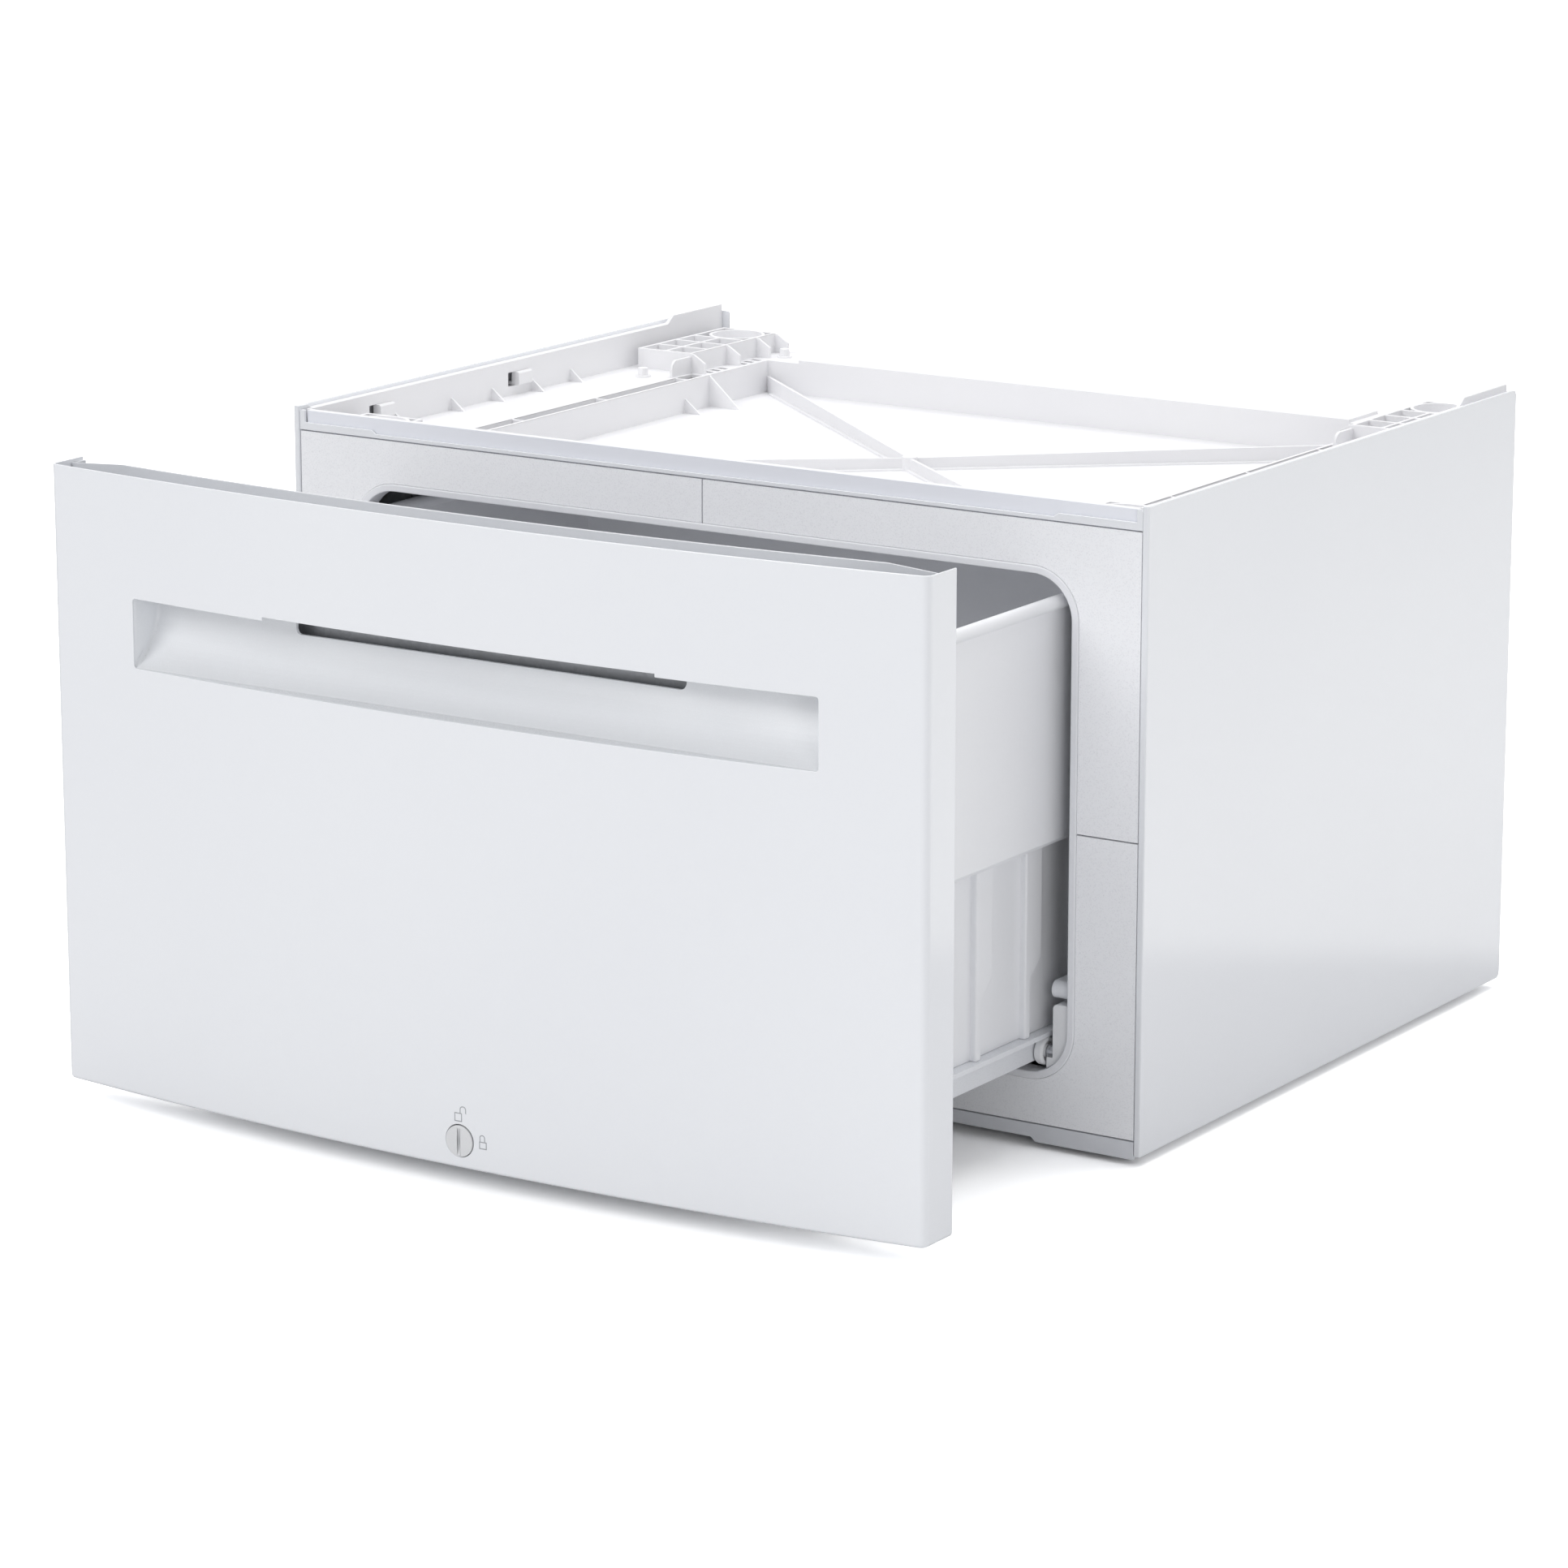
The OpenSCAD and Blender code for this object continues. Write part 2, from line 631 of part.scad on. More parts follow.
module deck_walls() {
    z0 = channel_z - deck_t;
    front_z0 = bezel_z1 + seat_gap;
    for (side = [-1, 1]) on_side(side) {
        box(deck_wall_in, deck_wall_out, deck_front_y, deck_rear_y, z0, deck_top);
        box(deck_wall_in, half_w - 2 * sheet_t - 2 * seat_gap, hem_d + over, deck_rear_y, deck_top - 1.5, deck_top);
        along_x(deck_wall_in, deck_t) polygon([
            [deck_rear_y, deck_top - 1], [deck_rear_y, deck_top + wall_ear_h],
            [deck_rear_y - wall_ear_l + 7, deck_top + wall_ear_h], [deck_rear_y - wall_ear_l, deck_top],
            [deck_rear_y - wall_ear_l, deck_top - 1]
        ]);
    }
    box(-deck_wall_in, deck_wall_in, frame_y0 - 0.7, frame_y0 + 1.5, front_z0, deck_top - 0.4);
    box(-deck_wall_in, deck_wall_in, frame_y0 - 0.7, deck_front_y + deck_t, front_z0, front_z0 + 1.5);
    box(-deck_wall_in, deck_wall_in, deck_front_y, deck_front_y + deck_t, z0, deck_top - 0.4);
    box(-deck_wall_out, deck_wall_out, deck_rear_y - deck_t, deck_rear_y, pan_z - deck_t, channel_z);
}

// Channel floors at the two sides, front and rear, with the pan sunk between them.
module deck_floor() {
    difference() {
        box(-deck_wall_out, deck_wall_out, deck_front_y, deck_rear_y, channel_z - deck_t, channel_z);
        box(-pan_half_w, pan_half_w, pan_front, pan_rear_y, channel_z - deck_t - over, channel_z + over);
        for (side = [-1, 1]) on_side(side) {
            box(slot_in, slot_out, pan_front, ladder_y0, channel_z - deck_t - over, channel_z + over);
            ladder_windows();
        }
    }
    difference() {
        box(-slot_in, slot_in, pan_front - deck_t, pan_rear_y + deck_t, pan_z - deck_t, channel_z);
        box(-pan_half_w, pan_half_w, pan_front, pan_rear_y, pan_z, channel_z + over);
    }
    difference() {
        box(-rear_rim_half_w, rear_rim_half_w, pan_rear_y, deck_rear_y, channel_z - over, channel_z + rear_rim_h);
        box(-rear_rim_half_w + deck_t, rear_rim_half_w - deck_t, pan_rear_y + deck_t, deck_rear_y - deck_t,
            channel_z - 2 * over, channel_z + rear_rim_h - deck_t);
    }
    for (side = [-1, 1]) on_side(side) {
        box(slot_out, slot_out + deck_t, pan_front - deck_t, ladder_y0, channel_z - deck_t - 14, channel_z);
        box(pan_half_w, slot_out + deck_t, pan_front - deck_t, ladder_y0, channel_z - deck_t - 14, channel_z - 14);
        for (y = [0.28, 0.52, 0.76]) {
            rib_y = pan_front + y * (pan_rear_y - pan_front);
            box(slot_in - over, slot_out + over, rib_y - 1, rib_y + 1, channel_z - 14, channel_z - 0.4);
        }
    }
}

// Row of small windows in the strip beside a rear block.
module ladder_windows() {
    pitch = 8.6;
    for (bay = [0, 1], k = [0:2]) {
        y = grid_y0 + 8 + bay * grid_l * 0.62 + k * pitch;
        box(slot_in + 1.2, slot_out - 0.6, y, y + 4.4, channel_z - deck_t - over, channel_z + over);
    }
}

// Two crossed ribs on the pan's floor, each on a low foot, lower at their crossing.
module brace() {
    mid_y = (pan_front + pan_rear_y) / 2;
    reach_x = pan_half_w + deck_t / 2;
    reach_y = (pan_rear_y - pan_front) / 2 + deck_t / 2;
    arm = sqrt(reach_x * reach_x + reach_y * reach_y) - 1.5;
    translate([0, mid_y, pan_z - 0.5]) {
        for (turn = [atan2(reach_y, reach_x), atan2(-reach_y, reach_x)]) rotate([0, 0, turn]) {
            translate([0, brace_t / 2, 0]) rotate([90, 0, 0]) linear_extrude(brace_t) polygon([
                [-arm, 0], [arm, 0], [arm, brace_end_h], [0, brace_mid_h], [-arm, brace_end_h]
            ]);
            translate([-arm + 14, -brace_foot_w / 2, 0])
                cube([2 * arm - 28, brace_foot_w, brace_foot_h + 0.5]);
        }
        cylinder(r = hub_r, h = brace_mid_h + 0.8, $fn = 8);
    }
}

// Thin triangular web standing out of a wall at x0 towards the middle.
module gusset(x0, y, z, length, height) {
    along_y(y - 0.9, 1.8) polygon([[x0 + 0.5, z], [x0 - length, z], [x0, z + height], [x0 + 0.5, z + height]]);
}

module deck_gussets() {
    gusset(deck_wall_in, gusset_first, channel_z - 0.5, 11, 8.5);
    for (y = [gusset_first + gusset_step:gusset_pitch:grid_y0 - gusset_pitch])
        gusset(deck_wall_in, y, channel_z - 0.5, 11, 8.5);
    for (y = [pan_front + 65, grid_y0 + 2]) gusset(pan_half_w, y, pan_z - 0.5, 24, pan_depth);
    gusset(pan_half_w, grid_y0 - 27, pan_z - 0.5, 13, 10);
}

// Block that carries a washer foot: a round cup, walled in, with a cell grid at the rear.
module foot_block(cup_y, grid) {
    y0 = cup_y - block_half - grid;
    y1 = cup_y + block_half;
    mid_x = (block_in + block_out) / 2;
    cell = grid / grid_cells;
    z0 = channel_z - 0.5;
    difference() {
        union() {
            difference() {
                box(block_in, block_out, y0, y1, z0, cup_top);
                box(block_in + cup_wall, block_out - cup_wall, y0 + cup_wall, y1 - cup_wall, z0 - over, cup_top + over);
            }
            rod_z(cup_x, cup_y, z0, cup_top, block_half);
            if (grid > 0) {
                box(mid_x - cup_wall / 2, mid_x + cup_wall / 2, y0, cup_y - cup_r, z0, cup_top);
                for (k = [1:grid_cells]) {
                    box(block_in, block_out, y0 + k * cell - cup_wall / 2, y0 + k * cell + cup_wall / 2, z0, cup_top);
                }
            }
        }
        rod_z(cup_x, cup_y, channel_z + cup_floor_t, cup_top + over, cup_r);
    }
}

// Fins between a rear block and the pan's wall, and the round fin at the block's front corner.
module block_fins() {
    fin_out = block_in - slot_in - 0.4;
    for (y = [grid_y0 + 1, grid_y0 + 42, grid_y0 + 78, rear_cup_y + block_half - 1]) {
        along_y(y - 1, 2) polygon([
            [block_in + 1, channel_z - 0.5], [block_in - fin_out, channel_z - 0.5],
            [block_in - fin_out, channel_z + 7], [block_in - 1.5, cup_top - 0.5], [block_in + 1, cup_top - 0.5]
        ]);
    }
    along_x(block_in, 2) {
        translate([grid_y0 - 16, channel_z - 0.5]) square([17, 11.5]);
        translate([grid_y0 - 22, channel_z - 0.5]) square([8, 5.5]);
        translate([grid_y0 - 16, channel_z + 5]) circle(6);
    }
}

module deck_bosses() {
    for (p = [[cup_x, grid_y0 - 28], [slot_in - 6, pan_rear_y + 15]]) {
        rod_z(p[0], p[1], channel_z - 0.5, channel_z + 1.2, 5);
        translate([p[0], p[1], channel_z]) cylinder(r = 3.6, h = 6, $fn = 6);
    }
}

module clip_window() {
    for (y = clip_ys) box(deck_wall_in - over, deck_wall_out + over, y - clip_l / 2, y + clip_l / 2,
        channel_z + 6, channel_z + 15);
}

module top_deck() {
    color("white") in_cabinet() difference() {
        union() {
            deck_walls();
            deck_floor();
            brace();
            for (side = [-1, 1]) on_side(side) {
                deck_gussets();
                foot_block(cup_front, 0);
                foot_block(rear_cup_y, grid_l);
                block_fins();
                deck_bosses();
            }
        }
        for (side = [-1, 1]) on_side(side) clip_window();
    }
}

// Spring clips in the side walls' windows, which hold the deck to the side panels.
module deck_clips() {
    z0 = channel_z + 6 + seat_gap;
    z1 = channel_z + 15 - seat_gap;
    color("white") in_cabinet() for (side = [-1, 1], y = clip_ys) on_side(side) {
        along_y(y - clip_l / 2 + 7, clip_l - 7 - seat_gap) polygon([
            [deck_wall_out, z0], [deck_wall_in - 2.5, z0], [deck_wall_in - 3.5, z0 + 1],
            [deck_wall_in - 3.5, z1 - 1], [deck_wall_in - 2.5, z1], [deck_wall_out, z1]
        ]);
        box(deck_wall_out, half_w - 2 * sheet_t - 2 * seat_gap, y - clip_l / 2 + 7, y + clip_l / 2 - seat_gap, z0, z0 + 2);
    }
}

// ---- Slides ----

// Outline of a bracket block, seen from the front and cut to the trim's inner corner.
module bracket_outline() {
    nose_r = 3;
    intersection() {
        union() {
            translate([bracket_in, bracket_foot_z]) square([40, bracket_z1 - nose_r - bracket_foot_z]);
            translate([bracket_in + nose_r, bracket_foot_z]) square([40, bracket_z1 - bracket_foot_z]);
            translate([bracket_in + nose_r, bracket_z1 - nose_r]) circle(nose_r);
            translate([bracket_foot_in, opening_z0]) square([40, bracket_foot_z - opening_z0]);
        }
        opening(-trim_w - seat_gap);
    }
}

module roller_bracket(side) {
    color("whitesmoke") in_cabinet() on_side(side) difference() {
        along_y(bracket_y0, bracket_l) bracket_outline();
        rod_x(bracket_in - over, bracket_in + axle_seat_l + 0.2, roller_y, roller_z, axle_r + 0.02);
        rod_x(bracket_foot_in - over, bracket_in, roller_y, roller_z, axle_shoulder_r + 0.2);
    }
}

// Fixed axle of a front roller, with the shoulder that spaces the roller off its bracket.
module front_axle(side) {
    color("silver") in_cabinet() on_side(side) {
        rod_x(front_roller_x + 0.4, bracket_in + axle_seat_l, roller_y, roller_z, axle_r);
        rod_x(front_roller_x + roller_w + clear_gap, bracket_in - 0.02, roller_y, roller_z, axle_shoulder_r);
    }
}

// Roller turned about X, its inner face at x = 0, with a recess round the hub.
module roller_body() {
    round_r = 1.2;
    recess = 1.8;
    bore = axle_r + axle_fit;
    rotate([0, 90, 0]) rotate_extrude() polygon([
        [bore, 0], [roller_r - round_r, 0], [roller_r - 0.35, 0.35], [roller_r, round_r],
        [roller_r, roller_w - round_r], [roller_r - 0.35, roller_w - 0.35], [roller_r - round_r, roller_w],
        [roller_r - 2, roller_w], [roller_r - 2.4, roller_w - recess], [bore + 1.4, roller_w - recess],
        [bore + 1.4, roller_w], [bore, roller_w]
    ]);
}

module front_roller(side) {
    color("white") in_cabinet() on_side(side) translate([front_roller_x, roller_y, roller_z]) roller_body();
}

// Channel that guides the drawer's rear roller: a ledge below, a web, and a bar above with a round nose.
module runner(side) {
    z_top = runner_z0 + runner_t;
    nose_r = runner_top_h / 2;
    web_out = runner_half_w + runner_web_t;
    color("whitesmoke") in_cabinet() on_side(side) {
        box(runner_in, web_out, runner_y0, runner_y1, runner_z0, z_top);
        box(runner_half_w, web_out, runner_y0, runner_y1, z_top + weld_gap, runner_z1 - weld_gap);
        along_x(runner_in, web_out - runner_in) {
            translate([runner_nose_y + nose_r, runner_z1])
                square([runner_y1 - runner_nose_y - nose_r, runner_top_h]);
            translate([runner_nose_y + nose_r, runner_z1 + nose_r]) circle(nose_r);
        }
    }
}

module drawer_rail(side) {
    color("whitesmoke") in_drawer() on_side(side) {
        box(rail_in, rail_out, rail_y0, tub_l, rail_z1 - rail_flange_t, rail_z1);
        box(rail_in, rail_in + rail_web_t, rail_y0, tub_l, rail_z0, rail_z1);
    }
}

// Angle on the rear end of a drawer rail that holds the rear roller's axle.
module rear_bracket(side) {
    y0 = rear_axle_y - plate_l / 2;
    color("silver") in_drawer() on_side(side) difference() {
        union() {
            box(plate_in, rail_out, y0, y0 + plate_l, rail_z1 + seat_gap, rear_roller_z + 7);
            box(tub_low_half_w + seat_gap, rail_out, y0, y0 + plate_l, rail_z1 + seat_gap, rail_z1 + 3);
        }
        rod_x(plate_in - over, rail_out + over, rear_axle_y, rear_roller_z, axle_r + 0.02);
    }
}

module rear_axle(side) {
    flange_r = axle_r + 1.5;
    color("silver") in_drawer() on_side(side) {
        rod_x(plate_in - 1.6, plate_in - 0.05, rear_axle_y, rear_roller_z, flange_r);
        rod_x(plate_in - 1.6, rear_roller_x + roller_w + clear_gap + 1.2, rear_axle_y, rear_roller_z, axle_r);
        rod_x(rail_out + 0.05, rear_roller_x - clear_gap, rear_axle_y, rear_roller_z, flange_r);
        rod_x(rear_roller_x + roller_w + clear_gap, rear_roller_x + roller_w + clear_gap + 1.2,
            rear_axle_y, rear_roller_z, flange_r);
    }
}

module rear_roller(side) {
    color("white") in_drawer() on_side(side)
        translate([rear_roller_x, rear_axle_y, rear_roller_z]) roller_body();
}

// ---- Drawer front ----

// Plan of the bowed front, drawn inset from the outside of its skin and closed at y = back.
module bowed_plan(inset, back) {
    reach = edge_x * (bow_r - inset) / (bow_r - edge_r);
    intersection() {
        translate([0, bow_y]) circle(bow_r - inset, $fn = bow_fn);
        translate([-reach, front_mid_y - over]) square([2 * reach, back - front_mid_y + over]);
    }
    for (x = [-edge_x, edge_x]) translate([x, edge_y]) circle(edge_r - inset);
    translate([inset - front_half_w, edge_y]) square([2 * (front_half_w - inset), back - edge_y]);
}

// Mouth of the handle with the shallow notch above it, as a cut through the skin.
module handle_mouth() {
    along_y(front_mid_y - over, flange_d + bow_h - 3) {
        rounded(-handle_half_w, handle_half_w, handle_z0, handle_z1, 1.5);
        translate([-slot_half_w, handle_z1 - over]) square([2 * slot_half_w, notch_h + over]);
    }
}

module front_skin() {
    color("whitesmoke") in_drawer() difference() {
        translate([0, 0, front_z0]) linear_extrude(front_z1 - front_z0) bowed_plan(0, front_back_y);
        translate([0, 0, front_z0 + skin_t]) linear_extrude(front_z1 - front_z0)
            bowed_plan(skin_t, front_back_y + over);
        handle_mouth();
        rod_y(lock_x, front_mid_y - over, front_mid_y + skin_t + over, lock_z, knob_r + 0.5);
    }
}

// Bowed inner panel with side returns, cut out round the scoop.
module inner_panel() {
    window_gap = 1;
    return_y = bow_y - sqrt(pow(bow_r - inner_depth, 2) - inner_half_w * inner_half_w);
    color("gainsboro") in_drawer() difference() {
        translate([0, 0, inner_z0]) linear_extrude(inner_z1 - inner_z0) {
            difference() {
                intersection() {
                    translate([0, bow_y]) circle(bow_r - inner_depth, $fn = bow_fn);
                    translate([-inner_half_w, front_mid_y]) square([2 * inner_half_w, front_back_y - front_mid_y]);
                }
                translate([0, bow_y]) circle(bow_r - inner_depth - inner_t, $fn = bow_fn);
            }
            for (side = [-1, 1]) on_side(side) translate([inner_half_w - inner_t, return_y])
                square([inner_t, front_back_y - return_y]);
        }
        box(-handle_half_w - scoop_t - window_gap, handle_half_w + scoop_t + window_gap,
            front_mid_y, front_back_y + over, handle_z0 - scoop_t - window_gap, scoop_top + scoop_t + window_gap);
    }
}

// Free space of the scoop in section, grown by a wall thickness: an arc that ends in an upright back.
module scoop_section(t) {
    front = front_mid_y - over;
    back = scoop_y + t;
    intersection() {
        union() {
            translate([scoop_y - scoop_r, scoop_mid_z]) circle(scoop_r + t, $fn = 192);
            translate([front, scoop_mid_z]) square([back - front, scoop_top + t - scoop_mid_z]);
        }
        translate([front, handle_z0 - t]) square([back - front, scoop_top + 2 * t - handle_z0]);
    }
}

module handle_scoop() {
    slot_z0 = handle_z0 + slot_rise;
    color("whitesmoke") in_drawer() intersection() {
        difference() {
            along_x(-handle_half_w - scoop_t, handle_w + 2 * scoop_t) scoop_section(scoop_t);
            along_x(-handle_half_w, handle_w) scoop_section(0);
            along_y(scoop_y - 4 * over, scoop_t + 5 * over)
                rounded(-slot_half_w, slot_half_w, slot_z0, scoop_top - 4, 4);
        }
        translate([0, 0, front_z0]) linear_extrude(front_z1 - front_z0)
            bowed_plan(skin_t + seat_gap, front_back_y);
    }
}

module back_sheet() {
    color("silver") in_drawer() difference() {
        box(-back_sheet_half_w, back_sheet_half_w, back_sheet_y, front_back_y,
            front_z0 + skin_t + seat_gap, back_sheet_z1);
        rod_y(lock_x, back_sheet_y - over, front_back_y + over, lock_z, spindle_r + 0.5);
        for (x = [-front_screw_x, front_screw_x], z = front_screw_zs)
            rod_y(x, back_sheet_y - over, front_back_y + over, z, screw_r + 0.05);
        for (x = [-tub_screw_x, tub_screw_x], z = tub_screw_zs)
            rod_y(x, back_sheet_y - over, front_back_y + over, z, screw_r + 0.05);
    }
}

// ---- Drawer tub ----

// Section across the tub, drawn half at a time; t is the inset from the outside.
module tub_section(t) {
    top = tub_rim_z;
    fold = 3;
    low_half_w = rail_in - seat_gap;
    for (side = [-1, 1]) on_side(side) polygon([
        [0, top], [tub_half_w - t, top], [tub_half_w - t, tub_step_z + fold + t / 2],
        [tub_half_w - fold - t / 2, tub_step_z + t], [tub_low_half_w - t, tub_step_z + t],
        [tub_low_half_w - t, rail_z1 + seat_gap + t], [low_half_w - t, rail_z1 + seat_gap + t],
        [low_half_w - t, tub_z0 + t], [0, tub_z0 + t]
    ]);
}

// Upright rib, wide above and narrow below, from the step down to the rail.
module tub_rib(y) {
    waist_z = tub_step_z - 67;
    along_x(tub_low_half_w - over, rib_out + over) polygon([
        [y, tub_step_z + over], [y + rib_w, tub_step_z + over], [y + rib_w, waist_z],
        [y + rib_low_w, waist_z - 10], [y + rib_low_w, rail_z1 + seat_gap], [y, rail_z1 + seat_gap]
    ]);
}

module drawer_tub() {
    y0 = front_back_y + 0.05;
    color("whitesmoke") in_drawer() difference() {
        union() {
            difference() {
                along_y(y0, tub_l - y0) tub_section(0);
                along_y(y0 + tub_t, tub_l - y0 - 2 * tub_t) tub_section(tub_t);
                box(-tub_half_w + tub_t, tub_half_w - tub_t, y0 + tub_t, tub_l - tub_t, tub_rim_z - over, tub_rim_z + over);
            }
            for (side = [-1, 1]) on_side(side) {
                for (y = [tub_l - rear_rib_margin:-rib_pitch:rib_pitch / 4]) tub_rib(y);
                rod_y(tub_half_w - 0.5, y0, tub_l - 1, tub_rim_z, tub_rim_r);
            }
            rod_x(-tub_half_w + 0.5, tub_half_w - 0.5, tub_l - 1, tub_rim_z, tub_rim_r);
            for (side = [-1, 1]) translate([side * (tub_half_w - 0.5), tub_l - 1, tub_rim_z]) sphere(tub_rim_r);
        }
        for (x = [-tub_screw_x, tub_screw_x], z = tub_screw_zs)
            rod_y(x, y0 - over, y0 + tub_t + over, z, screw_r + 0.05);
    }
}

// ---- Lock ----

module lock_housing() {
    color("whitesmoke") in_drawer() difference() {
        union() {
            rod_y(lock_x, housing_y, back_sheet_y - seat_gap, lock_z, 7);
            rod_y(lock_x, housing_y, housing_y + 2.5, lock_z, housing_r);
        }
        rod_y(lock_x, housing_y - over, back_sheet_y + over, lock_z, spindle_r + axle_fit);
    }
}

// Round knob with a coin slot, upright when unlocked.
module lock_knob() {
    color("whitesmoke") in_drawer() difference() {
        rod_y(lock_x, knob_y, knob_y + knob_t, lock_z, knob_r);
        box(lock_x - coin_slot_w / 2, lock_x + coin_slot_w / 2, knob_y - over, knob_y + 1.6,
            lock_z - knob_r * 0.82, lock_z + knob_r * 0.82);
        rod_y(lock_x, knob_y + knob_t - 2, knob_y + knob_t + over, lock_z, spindle_r + 0.02);
    }
}

module lock_spindle() {
    color("silver") in_drawer() rod_y(lock_x, knob_y + knob_t - 1.9, cam_y + cam_t, lock_z, spindle_r);
}

// Locking bar: upright it passes the striker's slot, level it catches behind it.
module lock_cam() {
    color("silver") in_drawer() difference() {
        union() {
            box(lock_x - cam_w / 2, lock_x + cam_w / 2, cam_y, cam_y + cam_t, lock_z - cam_l / 2, lock_z + cam_l / 2);
            rod_y(lock_x, cam_y, cam_y + cam_t, lock_z, spindle_r + 0.2);
        }
        rod_y(lock_x, cam_y - over, cam_y + cam_t + over, lock_z, spindle_r + 0.02);
    }
}

module lock_striker() {
    color("silver") in_cabinet() difference() {
        box(lock_x - 16, lock_x + 16, striker_y, striker_y + striker_t,
            lock_z - cam_slot_h / 2 - 2, lock_z + cam_slot_h / 2 + 1.2);
        lock_slot(striker_y - over, striker_y + striker_t + over, cam_slot_w, cam_slot_h);
    }
}

// ---- Fasteners, feet and pads ----

module cabinet_screws() {
    color("gray") in_cabinet() for (x = [-rear_screw_x, rear_screw_x], z = rear_screw_zs) difference() {
        union() {
            rod_y(x, cabinet_d + 0.05, cabinet_d + 0.05 + screw_head_h, z, screw_head_r);
            rod_y(x, cabinet_d - 2 * sheet_t - seat_gap, cabinet_d + 0.05 + over, z, screw_r);
        }
        cross_recess(x, cabinet_d + 0.05 + screw_head_h, z);
    }
}

module cross_recess(x, y, z) {
    box(x - 2, x + 2, y - 0.8, y + over, z - 0.5, z + 0.5);
    box(x - 0.5, x + 0.5, y - 0.8, y + over, z - 2, z + 2);
}

// Flat screws that hold the drawer front's back sheet.
module front_screws() {
    y = front_back_y + 0.05;
    color("gray") in_drawer() for (x = [-front_screw_x, front_screw_x], z = front_screw_zs) difference() {
        union() {
            rod_y(x, y, y + flat_head_h, z, screw_head_r);
            rod_y(x, back_sheet_y - 4, y + 0.5, z, screw_r);
        }
        cross_recess(x, y + flat_head_h + 0.3, z);
    }
}

// Screws through the tub's front wall into the drawer front.
module tub_screws() {
    y = front_back_y + 0.05 + tub_t + 0.05;
    color("gray") in_drawer() for (x = [-tub_screw_x, tub_screw_x], z = tub_screw_zs) difference() {
        union() {
            rod_y(x, y, y + screw_head_h, z, screw_head_r);
            rod_y(x, back_sheet_y - 4, y + over, z, screw_r);
        }
        cross_recess(x, y + screw_head_h, z);
    }
}

module bumper_pads() {
    color("dimgray") in_drawer() for (x = [-bumper_x, bumper_x], z = bumper_zs)
        rod_y(x, front_back_y + 0.02, bezel_set_back - clear_gap, z, bumper_r);
}

module foot_nuts() {
    z0 = side_z0 + post_t + seat_gap;
    color("gray") in_cabinet() for (side = [-1, 1], y = foot_ys) on_side(side) difference() {
        translate([foot_x, y, z0]) cylinder(r = nut_r, h = nut_h, $fn = 6);
        rod_z(foot_x, y, z0 - over, z0 + nut_h + over, stud_r + thread_fit);
    }
}

// Threaded stud of a levelling foot, screwed right up.
module foot_stud(side, y) {
    color("gray") in_cabinet() on_side(side) rod_z(foot_x, y, foot_bore_z + 0.1, foot_disc_h + stud_l, stud_r);
}

module foot_disc(side, y) {
    color("dimgray") in_cabinet() on_side(side) difference() {
        union() {
            rod_z(foot_x, y, 0, foot_disc_h, foot_r);
            translate([foot_x, y, foot_disc_h - 0.5]) cylinder(r = stud_r + 4, h = foot_top - foot_disc_h + 0.5, $fn = 6);
        }
        rod_z(foot_x, y, foot_bore_z, foot_top + over, stud_r + 0.02);
    }
}

side_panel(-1);  // side_panel_left
side_panel(1);  // side_panel_right
back_panel();
side_frame(-1);  // side_frame_left
side_frame(1);  // side_frame_right
base_plate();
plinth_strip();
front_frame();
front_top_rail();
top_deck();
deck_clips();
bezel_quarter(-1, true);  // bezel_upper_left
bezel_quarter(1, true);  // bezel_upper_right
bezel_quarter(-1, false);  // bezel_lower_left
bezel_quarter(1, false);  // bezel_lower_right
opening_trim();
runner(-1);  // runner_left
runner(1);  // runner_right
roller_bracket(-1);  // roller_bracket_left
roller_bracket(1);  // roller_bracket_right
front_axle(-1);  // front_axle_left
front_axle(1);  // front_axle_right
front_roller(-1);  // front_roller_left
front_roller(1);  // front_roller_right
lock_striker();
cabinet_screws();
foot_nuts();
foot_stud(-1, foot_ys[0]);  // foot_stud_front_left
foot_stud(1, foot_ys[0]);  // foot_stud_front_right
foot_stud(-1, foot_ys[1]);  // foot_stud_rear_left
foot_stud(1, foot_ys[1]);  // foot_stud_rear_right
foot_disc(-1, foot_ys[0]);  // foot_disc_front_left
foot_disc(1, foot_ys[0]);  // foot_disc_front_right
foot_disc(-1, foot_ys[1]);  // foot_disc_rear_left
foot_disc(1, foot_ys[1]);  // foot_disc_rear_right
front_skin();
inner_panel();
back_sheet();
handle_scoop();
drawer_tub();
drawer_rail(-1);  // drawer_rail_left
drawer_rail(1);  // drawer_rail_right
rear_bracket(-1);  // rear_bracket_left
rear_bracket(1);  // rear_bracket_right
rear_axle(-1);  // rear_axle_left
rear_axle(1);  // rear_axle_right
rear_roller(-1);  // rear_roller_left
rear_roller(1);  // rear_roller_right
lock_housing();
lock_knob();
lock_spindle();
lock_cam();
front_screws();
tub_screws();
bumper_pads();
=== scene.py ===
import json
import math

